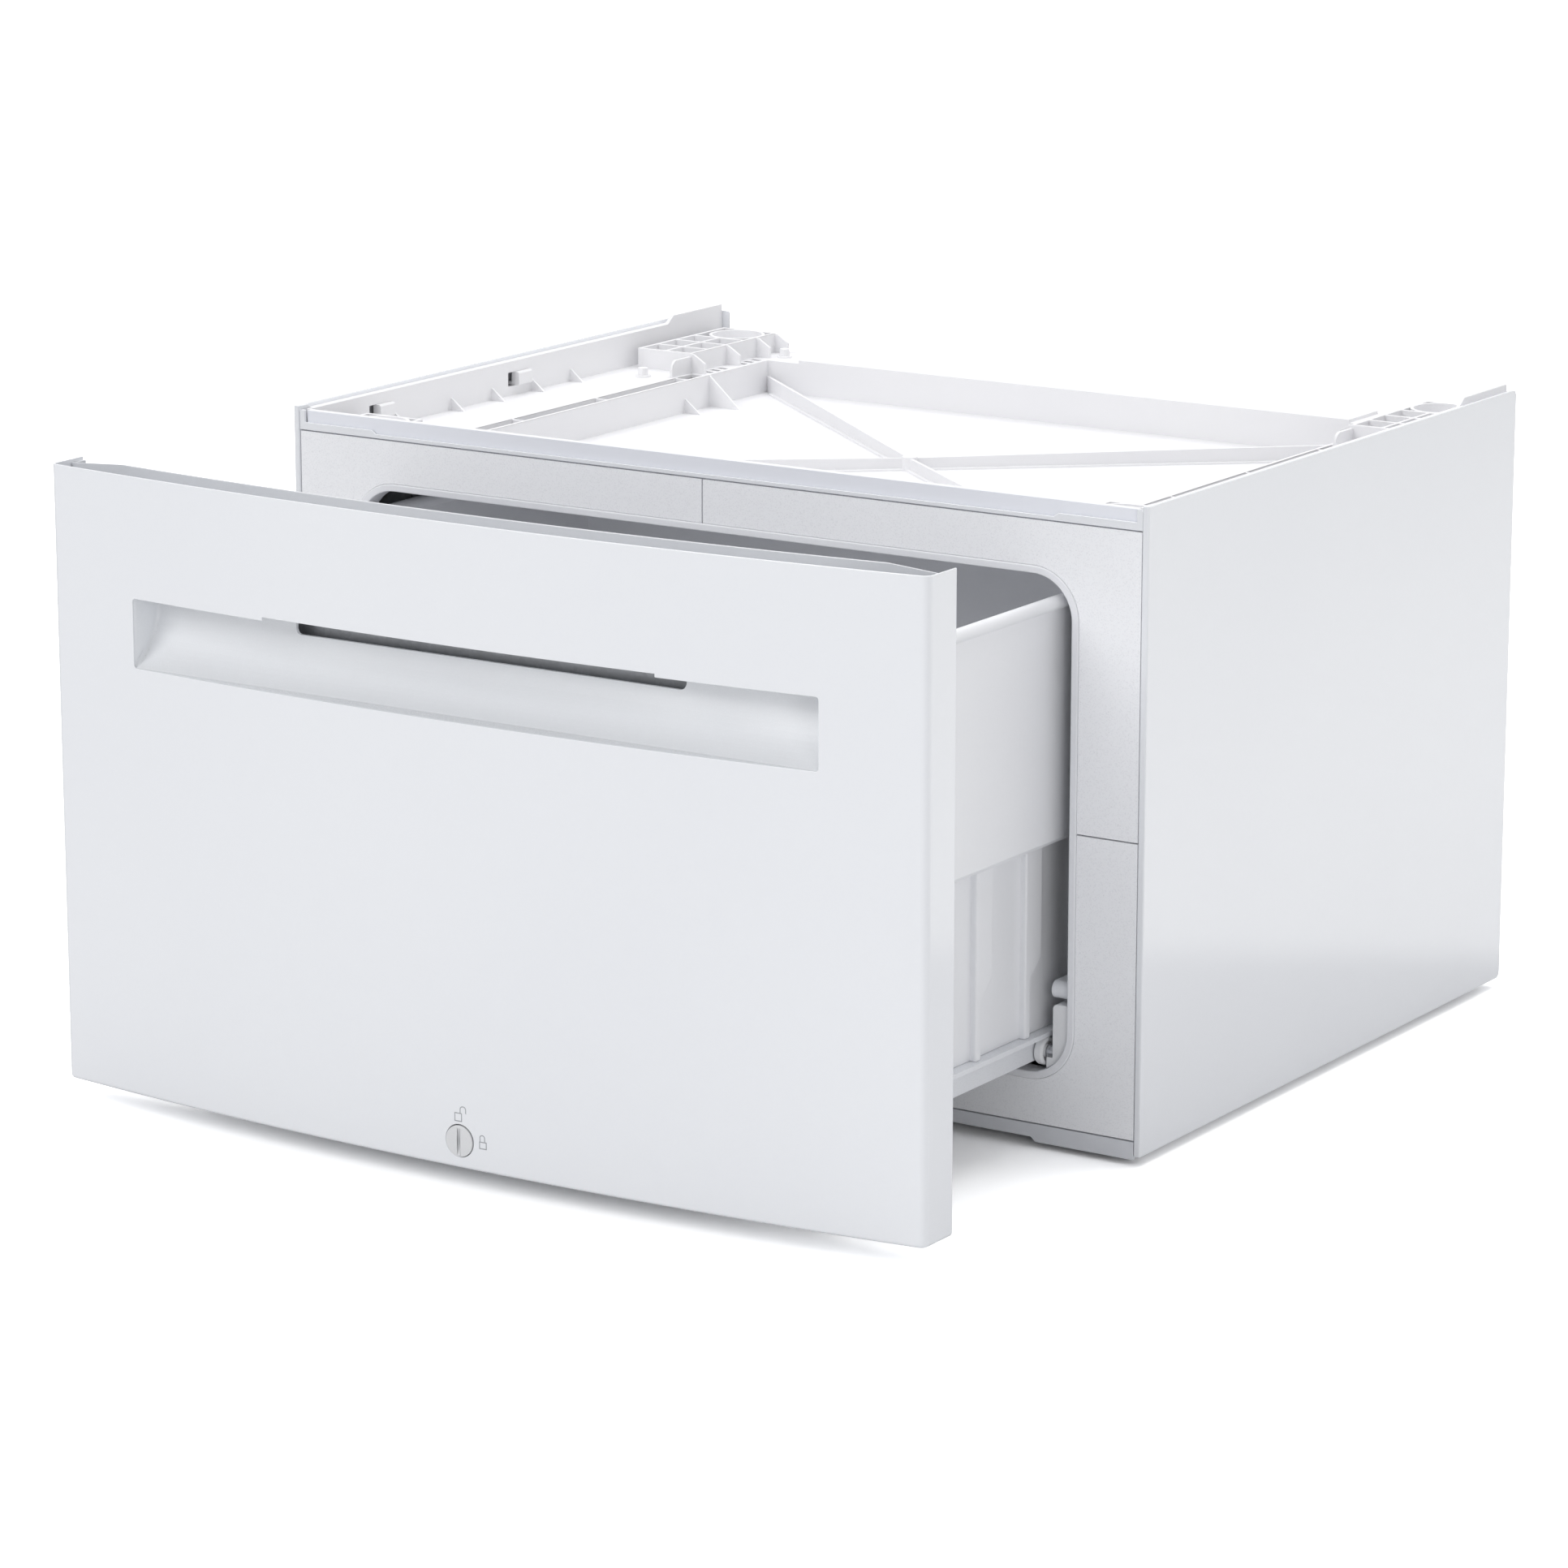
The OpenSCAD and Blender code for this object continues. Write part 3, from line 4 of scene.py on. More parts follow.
import bpy
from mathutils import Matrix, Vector


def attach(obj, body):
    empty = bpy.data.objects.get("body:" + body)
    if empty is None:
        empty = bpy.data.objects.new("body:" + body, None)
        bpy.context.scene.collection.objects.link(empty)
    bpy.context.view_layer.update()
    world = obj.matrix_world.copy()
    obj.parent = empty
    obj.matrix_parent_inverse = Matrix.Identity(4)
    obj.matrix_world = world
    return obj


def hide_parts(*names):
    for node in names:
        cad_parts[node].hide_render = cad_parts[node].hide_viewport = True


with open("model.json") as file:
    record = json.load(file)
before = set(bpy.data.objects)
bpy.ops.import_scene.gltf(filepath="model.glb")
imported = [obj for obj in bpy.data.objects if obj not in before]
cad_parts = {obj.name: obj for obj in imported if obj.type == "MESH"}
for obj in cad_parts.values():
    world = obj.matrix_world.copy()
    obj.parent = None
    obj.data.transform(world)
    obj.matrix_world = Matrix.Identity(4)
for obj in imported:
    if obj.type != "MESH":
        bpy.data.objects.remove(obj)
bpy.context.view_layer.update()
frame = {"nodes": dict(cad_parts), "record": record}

nodes = frame["nodes"]
print("frame loaded:", len(nodes), "nodes")

# shared by several pieces: distances in metres, angles in degrees
copyWeld = 2e-6
drawnWeld = 1e-5
flatAngle = 0.05
facingFront = (math.pi / 2, 0, 0)


# small helpers for selecting, copying and shading

def useOnly(obj):
    bpy.ops.object.select_all(action="DESELECT")
    obj.select_set(True)
    bpy.context.view_layer.objects.active = obj


def clearSelection(obj):
    useOnly(obj)
    for part in (obj.data.polygons, obj.data.edges, obj.data.vertices):
        for item in part:
            item.select = False


def pickPoints(obj, wanted):
    # the points that pass are selected, and edit mode is on
    clearSelection(obj)
    bpy.context.tool_settings.mesh_select_mode = (True, False, False)
    for vertex in obj.data.vertices:
        vertex.select = wanted(vertex.co)
    bpy.ops.object.mode_set(mode="EDIT")


def pickFaces(obj, wanted):
    clearSelection(obj)
    bpy.context.tool_settings.mesh_select_mode = (False, False, True)
    for face in obj.data.polygons:
        face.select = wanted(face.center, face.normal)
    bpy.ops.object.mode_set(mode="EDIT")


def pickEdges(obj, wanted):
    clearSelection(obj)
    bpy.context.tool_settings.mesh_select_mode = (False, True, False)
    points = obj.data.vertices
    count = 0
    for edge in obj.data.edges:
        edge.select = wanted(points[edge.vertices[0]].co, points[edge.vertices[1]].co)
        count += edge.select
    bpy.ops.object.mode_set(mode="EDIT")
    return count


def leaveEdit():
    bpy.ops.mesh.select_all(action="DESELECT")
    bpy.ops.object.mode_set(mode="OBJECT")


def addModifier(obj, kind, **values):
    modifier = obj.modifiers.new(kind.lower(), kind)
    for name, value in values.items():
        setattr(modifier, name, value)
    useOnly(obj)
    bpy.ops.object.modifier_apply(modifier=modifier.name)


def cutAway(obj, tool):
    addModifier(obj, "BOOLEAN", operation="DIFFERENCE", object=tool, solver="EXACT")
    bpy.data.objects.remove(tool)


def applyPlace(obj):
    useOnly(obj)
    bpy.ops.object.transform_apply(location=True, rotation=True, scale=True)


def makeSmooth(obj, degrees=35):
    # soft corners melt into the faces beside them, and the large faces stay flat
    useOnly(obj)
    bpy.ops.object.shade_smooth_by_angle(angle=math.radians(degrees))
    addModifier(obj, "WEIGHTED_NORMAL", mode="FACE_AREA", weight=50, keep_sharp=True)


def softenEdges(obj, width, segments=2, angle=40):
    addModifier(obj, "BEVEL", width=width, segments=segments, limit_method="ANGLE",
        angle_limit=math.radians(angle), use_clamp_overlap=False)


def copyOfNode(nodeName, pieceName, joinFlats):
    piece = bpy.data.objects.new(pieceName, nodes[nodeName].data.copy())
    bpy.context.scene.collection.objects.link(piece)
    useOnly(piece)
    bpy.ops.mesh.customdata_custom_splitnormals_clear()
    bpy.ops.object.mode_set(mode="EDIT")
    bpy.ops.mesh.select_all(action="SELECT")
    bpy.ops.mesh.remove_doubles(threshold=copyWeld)
    if joinFlats:
        bpy.ops.mesh.dissolve_limited(angle_limit=math.radians(flatAngle))
    leaveEdit()
    return piece


def startPoint(pieceName, place):
    # a single point to draw a section from
    bpy.ops.mesh.primitive_plane_add(size=0.001, location=(0, 0, 0))
    piece = bpy.context.object
    piece.name = pieceName
    bpy.ops.object.mode_set(mode="EDIT")
    bpy.ops.mesh.select_all(action="SELECT")
    bpy.ops.mesh.merge(type="CENTER")
    bpy.ops.transform.translate(value=place)
    return piece


def drawTo(step):
    bpy.ops.mesh.extrude_vertices_move(TRANSFORM_OT_translate={"value": step})


def settle(piece, body, slotName, *replaced):
    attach(piece, body)
    if replaced:
        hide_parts(*replaced)
    dress(piece, slotName)


# finishes: one material for each slot of the record

def shade(red, green, blue):
    # a colour as it shows on a screen, turned into the values that the shader adds up
    def linear(value):
        value /= 255
        return value / 12.92 if value <= 0.04045 else ((value + 0.055) / 1.055) ** 2.4
    return (linear(red), linear(green), linear(blue), 1)


def newGroup(name, inputs, outputs):
    group = bpy.data.node_groups.new(name, "ShaderNodeTree")
    for label, kind, value in inputs:
        socket = group.interface.new_socket(label, in_out="INPUT", socket_type=kind)
        if value is not None:
            socket.default_value = value
    for label, kind in outputs:
        group.interface.new_socket(label, in_out="OUTPUT", socket_type=kind)
    start = group.nodes.new("NodeGroupInput")
    end = group.nodes.new("NodeGroupOutput")
    return group, start, end


def feed(tree, socket, value):
    if isinstance(value, bpy.types.NodeSocket):
        tree.links.new(value, socket)
    else:
        socket.default_value = value


def addMath(tree, operation, *values):
    node = tree.nodes.new("ShaderNodeMath")
    node.operation = operation
    for socket, value in zip(node.inputs, values):
        feed(tree, socket, value)
    return node.outputs[0]


def addNoise(tree, vector, scale, detail, roughness=0.5):
    node = tree.nodes.new("ShaderNodeTexNoise")
    values = {"Vector": vector, "Scale": scale, "Detail": detail, "Roughness": roughness}
    for name, value in values.items():
        feed(tree, node.inputs[name], value)
    return node.outputs["Fac"]


def addRange(tree, value, low, high, newLow=0.0, newHigh=1.0):
    node = tree.nodes.new("ShaderNodeMapRange")
    values = {"Value": value, "From Min": low, "From Max": high, "To Min": newLow,
        "To Max": newHigh}
    for name, number in values.items():
        feed(tree, node.inputs[name], number)
    return node.outputs["Result"]


def mixColours(tree, factor, first, second):
    node = tree.nodes.new("ShaderNodeMix")
    node.data_type = "RGBA"
    colourA, colourB = node.inputs[6], node.inputs[7]
    for socket, value in ((node.inputs["Factor"], factor), (colourA, first), (colourB, second)):
        feed(tree, socket, value)
    return node.outputs[2]


def addCells(group, start):
    # crystal-like cells, each with a random colour
    cells = group.nodes.new("ShaderNodeTexVoronoi")
    for name in ("Vector", "Scale"):
        group.links.new(start.outputs[name], cells.inputs[name])
    tone = group.nodes.new("ShaderNodeSeparateColor")
    group.links.new(cells.outputs["Color"], tone.inputs[0])
    return cells, tone


def makeToneDrift():
    # slow change of tone over a panel, with a little fine mottling
    look = {"slowDetail": 2.0, "fineDetail": 3.0, "fineRoughness": 0.6, "fineShare": 0.35,
        "shown": (0.45, 0.95)}
    group, start, end = newGroup("toneDrift",
        [("Vector", "NodeSocketVector", None), ("Colour", "NodeSocketColor", (1, 1, 1, 1)),
         ("Darker", "NodeSocketColor", (0.8, 0.8, 0.8, 1)), ("Scale", "NodeSocketFloat", 6.0),
         ("Fine Scale", "NodeSocketFloat", 900.0), ("Amount", "NodeSocketFloat", 0.3)],
        [("Colour", "NodeSocketColor"), ("Mask", "NodeSocketFloat")])
    vector = start.outputs["Vector"]
    slow = addNoise(group, vector, start.outputs["Scale"], look["slowDetail"])
    fine = addNoise(group, vector, start.outputs["Fine Scale"], look["fineDetail"],
        look["fineRoughness"])
    both = addMath(group, "MULTIPLY_ADD", fine, look["fineShare"], slow)
    shown = addRange(group, both, *look["shown"])
    mask = addMath(group, "MULTIPLY", shown, start.outputs["Amount"])
    tone = mixColours(group, mask, start.outputs["Colour"], start.outputs["Darker"])
    group.links.new(tone, end.inputs["Colour"])
    group.links.new(mask, end.inputs["Mask"])
    return group


def makeSurfaceGrain():
    # height of a moulded or sprayed surface: broad ripple and fine grain
    look = {"rippleDetail": 1.0, "rippleRoughness": 0.4, "grainDetail": 4.0, "grainRoughness": 0.6}
    group, start, end = newGroup("surfaceGrain",
        [("Vector", "NodeSocketVector", None), ("Ripple Scale", "NodeSocketFloat", 250.0),
         ("Grain Scale", "NodeSocketFloat", 2200.0), ("Grain Share", "NodeSocketFloat", 0.4)],
        [("Height", "NodeSocketFloat"), ("Grain", "NodeSocketFloat")])
    vector = start.outputs["Vector"]
    ripple = addNoise(group, vector, start.outputs["Ripple Scale"], look["rippleDetail"],
        look["rippleRoughness"])
    grain = addNoise(group, vector, start.outputs["Grain Scale"], look["grainDetail"],
        look["grainRoughness"])
    share = addMath(group, "MULTIPLY", grain, start.outputs["Grain Share"])
    height = addMath(group, "ADD", ripple, share)
    group.links.new(height, end.inputs["Height"])
    group.links.new(grain, end.inputs["Grain"])
    return group


def makeSparkle():
    # small bright and dark flecks, as in plastic with mica
    look = {"bright": (0.80, 0.98), "dark": (0.70, 0.98)}
    group, start, end = newGroup("sparkle",
        [("Vector", "NodeSocketVector", None), ("Scale", "NodeSocketFloat", 1500.0)],
        [("Bright", "NodeSocketFloat"), ("Dark", "NodeSocketFloat")])
    tone = addCells(group, start)[1]
    group.links.new(addRange(group, tone.outputs[0], *look["bright"]), end.inputs["Bright"])
    group.links.new(addRange(group, tone.outputs[1], *look["dark"]), end.inputs["Dark"])
    return group


def makeSpangle():
    # zinc crystals on galvanised sheet
    look = {"hazeScale": 30.0, "hazeDetail": 5.0, "hazeRoughness": 0.6}
    group, start, end = newGroup("spangle",
        [("Vector", "NodeSocketVector", None), ("Scale", "NodeSocketFloat", 140.0)],
        [("Tone", "NodeSocketFloat"), ("Height", "NodeSocketFloat")])
    cells, tone = addCells(group, start)
    haze = addNoise(group, start.outputs["Vector"], look["hazeScale"], look["hazeDetail"],
        look["hazeRoughness"])
    group.links.new(addMath(group, "MULTIPLY", tone.outputs[0], haze), end.inputs["Tone"])
    group.links.new(cells.outputs["Distance"], end.inputs["Height"])
    return group


toneDrift = makeToneDrift()
surfaceGrain = makeSurfaceGrain()
sparkle = makeSparkle()
spangle = makeSpangle()


def placeGroup(tree, group, vector, **values):
    node = tree.nodes.new("ShaderNodeGroup")
    node.node_tree = group
    tree.links.new(vector, node.inputs["Vector"])
    for name, value in values.items():
        node.inputs[name.replace("_", " ")].default_value = value
    return node


def startMaterial(name):
    material = bpy.data.materials.new(name)
    material.use_nodes = True
    tree = material.node_tree
    place = tree.nodes.new("ShaderNodeTexCoord").outputs["Object"]
    return material, tree, tree.nodes["Principled BSDF"], place


def addBump(tree, shader, height, distance):
    bump = tree.nodes.new("ShaderNodeBump")
    bump.inputs["Strength"].default_value = 1.0
    bump.inputs["Distance"].default_value = distance
    tree.links.new(height, bump.inputs["Height"])
    tree.links.new(bump.outputs["Normal"], shader.inputs["Normal"])


def placeDrift(tree, place, look):
    return placeGroup(tree, toneDrift, place, Colour=shade(*look["colour"]),
        Darker=shade(*look["darker"]), Scale=look["driftScale"], Fine_Scale=look["mottleScale"],
        Amount=look["drift"])


def placeGrain(tree, place, look):
    return placeGroup(tree, surfaceGrain, place, Ripple_Scale=look["rippleScale"],
        Grain_Scale=look["grainScale"], Grain_Share=look["grainShare"])


# the part of a pattern's values that is spread over a finish's gloss or tone
glossSpan = (0.3, 0.7)
lineSpan = (0.35, 0.75)
crystalSpan = (0.0, 0.6)


def mouldedFinish(name, look):
    # paint or plastic: drifting tone, fine grain, a roughness that follows the grain
    material, tree, shader, place = startMaterial(name)
    drift = placeDrift(tree, place, look)
    grain = placeGrain(tree, place, look)
    tree.links.new(drift.outputs["Colour"], shader.inputs["Base Color"])
    rough = addRange(tree, grain.outputs["Grain"], *glossSpan, *look["gloss"])
    tree.links.new(rough, shader.inputs["Roughness"])
    addBump(tree, shader, grain.outputs["Height"], look["bump"])
    for socketName, key in (("Coat Weight", "coat"), ("Coat Roughness", "coatRoughness")):
        if key in look:
            shader.inputs[socketName].default_value = look[key]
    return material


def addFrontToneAndShade(material, look):
    # the outer face of the deck's front wall takes the bluish tone of the frame below it, and this
    # tone also stands in for the shade on this front-facing wall: partly painted shade
    tree = material.node_tree
    shader = tree.nodes["Principled BSDF"]
    place = tree.nodes.new("ShaderNodeSeparateXYZ")
    tree.links.new(tree.nodes["Texture Coordinate"].outputs["Object"], place.inputs[0])
    # mask of the deck's front face, which gets the frame's tone and the painted shade
    front = addRange(tree, place.outputs["Y"], look["from"], look["to"])
    tone = shader.inputs["Base Color"].links[0].from_socket
    colour = mixColours(tree, front, tone, shade(*look["colour"]))
    tree.links.new(colour, shader.inputs["Base Color"])


def sparkleFinish(name, look):
    # plastic with bright and dark flecks, glossier where a fleck is bright
    material, tree, shader, place = startMaterial(name)
    drift = placeDrift(tree, place, look)
    flecks = placeGroup(tree, sparkle, place, Scale=look["fleckScale"])
    tone = drift.outputs["Colour"]
    for output, colour, share in (("Bright", look["bright"], look["brightShare"]),
            ("Dark", look["dark"], look["darkShare"])):
        amount = addMath(tree, "MULTIPLY", flecks.outputs[output], share)
        tone = mixColours(tree, amount, tone, shade(*colour))
    tree.links.new(tone, shader.inputs["Base Color"])
    grain = placeGrain(tree, place, look)
    low, high = look["gloss"]
    rough = addRange(tree, flecks.outputs["Bright"], 0.0, 1.0, high, low)
    tree.links.new(rough, shader.inputs["Roughness"])
    addBump(tree, shader, grain.outputs["Height"], look["bump"])
    return material


def zincFinish(name, look):
    # galvanised sheet, whose crystals differ in tone and gloss
    material, tree, shader, place = startMaterial(name)
    crystals = placeGroup(tree, spangle, place, Scale=look["crystalScale"])
    crystal = crystals.outputs["Tone"]
    tone = mixColours(tree, crystal, shade(*look["colour"]), shade(*look["darker"]))
    tree.links.new(tone, shader.inputs["Base Color"])
    rough = addRange(tree, crystal, *crystalSpan, *look["gloss"])
    tree.links.new(rough, shader.inputs["Roughness"])
    shader.inputs["Metallic"].default_value = look["metallic"]
    addBump(tree, shader, crystals.outputs["Height"], look["bump"])
    return material


def turnedFinish(name, look):
    # fine rings from a lathe, or the drawn lines of bright wire, along one axis
    material, tree, shader, place = startMaterial(name)
    stretch = tree.nodes.new("ShaderNodeMapping")
    stretch.inputs["Scale"].default_value = look["stretch"]
    tree.links.new(place, stretch.inputs["Vector"])
    lines = addNoise(tree, stretch.outputs["Vector"], look["lineScale"], look["lineDetail"],
        look["lineRoughness"])
    worn = addRange(tree, lines, *lineSpan)
    tone = mixColours(tree, worn, shade(*look["colour"]), shade(*look["darker"]))
    tree.links.new(tone, shader.inputs["Base Color"])
    rough = addRange(tree, lines, *glossSpan, *look["gloss"])
    tree.links.new(rough, shader.inputs["Roughness"])
    shader.inputs["Metallic"].default_value = look["metallic"]
    addBump(tree, shader, lines, look["bump"])
    return material


# slot in the record, material, look
finishes = {
    "painted_white": mouldedFinish("whiteEnamel", {
        "colour": (237, 239, 243), "darker": (232, 234, 239), "driftScale": 3.0,
        "mottleScale": 500.0, "drift": 0.6, "rippleScale": 260.0, "grainScale": 3000.0,
        "grainShare": 0.15, "gloss": (0.14, 0.2), "bump": 0.00001, "coat": 0.5,
        "coatRoughness": 0.06}),
    "scoop_white": mouldedFinish("scoopEnamel", {
        "colour": (241, 243, 246), "darker": (237, 239, 243), "driftScale": 4.0,
        "mottleScale": 500.0, "drift": 0.6, "rippleScale": 220.0, "grainScale": 3000.0,
        "grainShare": 0.15, "gloss": (0.22, 0.3), "bump": 0.00001}),
    "deck_white": mouldedFinish("deckPlastic", {
        "colour": (236, 236, 238), "darker": (233, 233, 236), "driftScale": 9.0,
        "mottleScale": 700.0, "drift": 0.7, "rippleScale": 320.0, "grainScale": 2600.0,
        "grainShare": 0.5, "gloss": (0.42, 0.55), "bump": 0.00003}),
    "tub_white": mouldedFinish("tubPlastic", {
        "colour": (238, 239, 242), "darker": (230, 231, 235), "driftScale": 7.0,
        "mottleScale": 600.0, "drift": 0.6, "rippleScale": 280.0, "grainScale": 2400.0,
        "grainShare": 0.6, "gloss": (0.36, 0.48), "bump": 0.00003}),
    "bezel_grey": sparkleFinish("bezelPlastic", {
        "colour": (247, 248, 251), "darker": (243, 244, 248), "driftScale": 6.0,
        "mottleScale": 800.0, "drift": 0.5, "fleckScale": 1700.0, "bright": (252, 252, 254),
        "brightShare": 0.35, "dark": (208, 209, 216), "darkShare": 0.25, "rippleScale": 500.0,
        "grainScale": 2600.0, "grainShare": 0.6, "gloss": (0.24, 0.42), "bump": 0.00003}),
    "trim_white": mouldedFinish("trimPlastic", {
        "colour": (238, 239, 243), "darker": (219, 221, 226), "driftScale": 8.0,
        "mottleScale": 700.0, "drift": 0.5, "rippleScale": 300.0, "grainScale": 2600.0,
        "grainShare": 0.5, "gloss": (0.3, 0.4), "bump": 0.00002}),
    "plinth_white": mouldedFinish("plinthPlastic", {
        "colour": (222, 224, 229), "darker": (214, 216, 222), "driftScale": 8.0,
        "mottleScale": 700.0, "drift": 0.5, "rippleScale": 300.0, "grainScale": 2600.0,
        "grainShare": 0.5, "gloss": (0.32, 0.42), "bump": 0.00002}),
    "rail_white": mouldedFinish("railPaint", {
        "colour": (231, 233, 237), "darker": (222, 224, 229), "driftScale": 10.0,
        "mottleScale": 500.0, "drift": 0.6, "rippleScale": 350.0, "grainScale": 1800.0,
        "grainShare": 0.5, "gloss": (0.25, 0.36), "bump": 0.00002}),
    "roller_plastic": mouldedFinish("rollerPlastic", {
        "colour": (236, 237, 239), "darker": (226, 227, 230), "driftScale": 20.0,
        "mottleScale": 900.0, "drift": 0.5, "rippleScale": 600.0, "grainScale": 3200.0,
        "grainShare": 0.4, "gloss": (0.25, 0.35), "bump": 0.00001}),
    "panel_grey": mouldedFinish("innerPanelPlastic", {
        "colour": (214, 216, 220), "darker": (205, 207, 212), "driftScale": 6.0,
        "mottleScale": 700.0, "drift": 0.6, "rippleScale": 300.0, "grainScale": 2400.0,
        "grainShare": 0.6, "gloss": (0.4, 0.5), "bump": 0.00003}),
    "lock_plastic": mouldedFinish("lockPlastic", {
        "colour": (222, 223, 225), "darker": (214, 215, 218), "driftScale": 30.0,
        "mottleScale": 1200.0, "drift": 0.5, "rippleScale": 800.0, "grainScale": 4000.0,
        "grainShare": 0.4, "gloss": (0.28, 0.36), "bump": 0.00001}),
    "foot_plastic": mouldedFinish("footPlastic", {
        "colour": (62, 62, 66), "darker": (46, 46, 50), "driftScale": 25.0, "mottleScale": 900.0,
        "drift": 0.7, "rippleScale": 600.0, "grainScale": 2600.0, "grainShare": 0.8,
        "gloss": (0.45, 0.6), "bump": 0.00004}),
    "bumper_rubber": mouldedFinish("bumperRubber", {
        "colour": (72, 72, 75), "darker": (56, 56, 59), "driftScale": 30.0, "mottleScale": 900.0,
        "drift": 0.7, "rippleScale": 700.0, "grainScale": 2600.0, "grainShare": 0.9,
        "gloss": (0.7, 0.85), "bump": 0.00004}),
    "frame_steel": zincFinish("zincSheet", {
        "colour": (206, 208, 211), "darker": (186, 188, 192), "crystalScale": 300.0,
        "gloss": (0.36, 0.44), "metallic": 0.85, "bump": 0.00002}),
    "axle_steel": turnedFinish("turnedSteel", {
        "colour": (206, 207, 210), "darker": (166, 167, 171), "stretch": (40.0, 1.0, 1.0),
        "lineScale": 120.0, "lineDetail": 4.0, "lineRoughness": 0.6, "metallic": 1.0,
        "gloss": (0.18, 0.32), "bump": 0.00001}),
    "fastener_steel": turnedFinish("platedSteel", {
        "colour": (200, 201, 205), "darker": (160, 161, 166), "stretch": (1.0, 1.0, 30.0),
        "lineScale": 100.0, "lineDetail": 4.0, "lineRoughness": 0.6, "metallic": 1.0,
        "gloss": (0.25, 0.4), "bump": 0.00002}),
}
# painted shade: the deck's front wall gets the frame's bluish tone, which also stands in for its
# shade
addFrontToneAndShade(finishes["deck_white"],
    {"from": -0.2259, "to": -0.2262, "colour": (236, 238, 245)})


def dress(piece, slotName):
    piece.data.materials.clear()
    piece.data.materials.append(finishes[slotName])


slotOf = {row["node"]: row["material_slot"] for row in frame["record"]["subparts"]}
for nodeName, node in nodes.items():
    finish = finishes[slotOf[nodeName]]
    if not node.material_slots:
        node.data.materials.append(finish)
    for materialSlot in node.material_slots:
        materialSlot.material = finish
print("materials ready:", len(finishes))


# drawer front

def makeFrontPanel():
    look = {"frontY": -0.4765, "backY": -0.43, "low": 0.014, "sheet": 0.0012,
        "edge": 0.00045, "edgeAngle": 50, "roll": 0.0026, "rollSteps": 5,
        "rows": (0.022, 0.06, 0.11, 0.16, 0.21, 0.255, 0.29, 0.33, 0.37, 0.382),
        "bowCentre": (0, 1.916777, 0), "bowRadius": 2.393277, "bowEnd": 0.292611, "bowSteps": 23,
        "cornerCentre": (0.292, -0.453582, 0), "cornerSteps": 7}
    # the upright section starts with the rolled fold of the lower edge
    roll, steps = look["roll"], look["rollSteps"]
    piece = startPoint("frontPanel", (0, look["frontY"] + roll, look["low"]))
    turns = [math.radians(90 * step / steps) for step in range(steps + 1)]
    for before, after in zip(turns, turns[1:]):
        drawTo((0, roll * (math.sin(before) - math.sin(after)),
            roll * (math.cos(before) - math.cos(after))))
    height = look["low"] + roll
    for row in look["rows"]:
        drawTo((0, 0, row - height))
        height = row
    # it sweeps along the bow and round the corner, and runs back as the side flange
    bowAngle = math.asin(look["bowEnd"] / look["bowRadius"])
    bpy.ops.mesh.select_all(action="SELECT")
    bpy.ops.mesh.spin(steps=look["bowSteps"], angle=-bowAngle, center=look["bowCentre"],
        axis=(0, 0, 1))
    bpy.ops.mesh.spin(steps=look["cornerSteps"], angle=bowAngle - math.pi / 2,
        center=look["cornerCentre"], axis=(0, 0, 1))
    flange = look["backY"] - look["cornerCentre"][1]
    bpy.ops.mesh.extrude_edges_move(TRANSFORM_OT_translate={"value": (0, flange, 0)})
    bpy.ops.object.mode_set(mode="OBJECT")
    # the lower edge is folded back into a floor
    pickPoints(piece, lambda p: abs(p.z - look["low"]) < drawnWeld)
    bpy.ops.mesh.extrude_edges_move(TRANSFORM_OT_translate={"value": (0, 0, 0)})
    bpy.ops.transform.resize(value=(1, 0, 1), center_override=(0, look["backY"], 0))
    bpy.ops.mesh.select_all(action="SELECT")
    bpy.ops.mesh.remove_doubles(threshold=drawnWeld)
    bpy.ops.object.mode_set(mode="OBJECT")
    addModifier(piece, "MIRROR", use_axis=(True, False, False), use_mirror_merge=True,
        merge_threshold=drawnWeld)
    pickPoints(piece, lambda p: True)
    bpy.ops.mesh.normals_make_consistent(inside=False)
    leaveEdit()
    # the sheet is thickened towards the inside
    front = max(piece.data.polygons, key=lambda face: -face.center.y)
    inwards = -1 if front.normal.y < 0 else 1
    addModifier(piece, "SOLIDIFY", thickness=look["sheet"], offset=inwards, use_even_offset=True)
    for tool in makeMouthCutters():
        cutAway(piece, tool)
    softenEdges(piece, look["edge"], segments=3, angle=look["edgeAngle"])
    makeSmooth(piece)
    settle(piece, "drawer", "painted_white", "front_skin")


def boxAt(name, low, high):
    bpy.ops.mesh.primitive_cube_add(size=1, location=[(a + b) / 2 for a, b in zip(low, high)])
    obj = bpy.context.object
    obj.name = name
    obj.scale = [b - a for a, b in zip(low, high)]
    applyPlace(obj)
    return obj


def makeMouthCutters():
    # half width, lower and upper edge of the mouth and of the notch above its slot
    look = {"mouth": (0.233, 0.2705, 0.311), "corner": 0.0018, "notch": (0.1333, 0.3105, 0.313),
        "reach": (-0.5, -0.44), "hole": (0.0022, -0.476, 0.0302), "holeRadius": 0.0096,
        "holeDepth": 0.03}
    frontY, backY = look["reach"]
    half, low, high = look["mouth"]
    mouth = boxAt("mouthTool", (-half, frontY, low), (half, backY, high))
    pickEdges(mouth, lambda a, b: abs(a.y - b.y) > drawnWeld)
    bpy.ops.mesh.bevel(offset=look["corner"], segments=5, affect="EDGES")
    leaveEdit()
    half, low, high = look["notch"]
    notch = boxAt("notchTool", (-half, frontY, low), (half, backY, high))
    bpy.ops.mesh.primitive_cylinder_add(vertices=64, radius=look["holeRadius"],
        depth=look["holeDepth"], location=look["hole"], rotation=facingFront)
    hole = bpy.context.object
    applyPlace(hole)
    return mouth, notch, hole


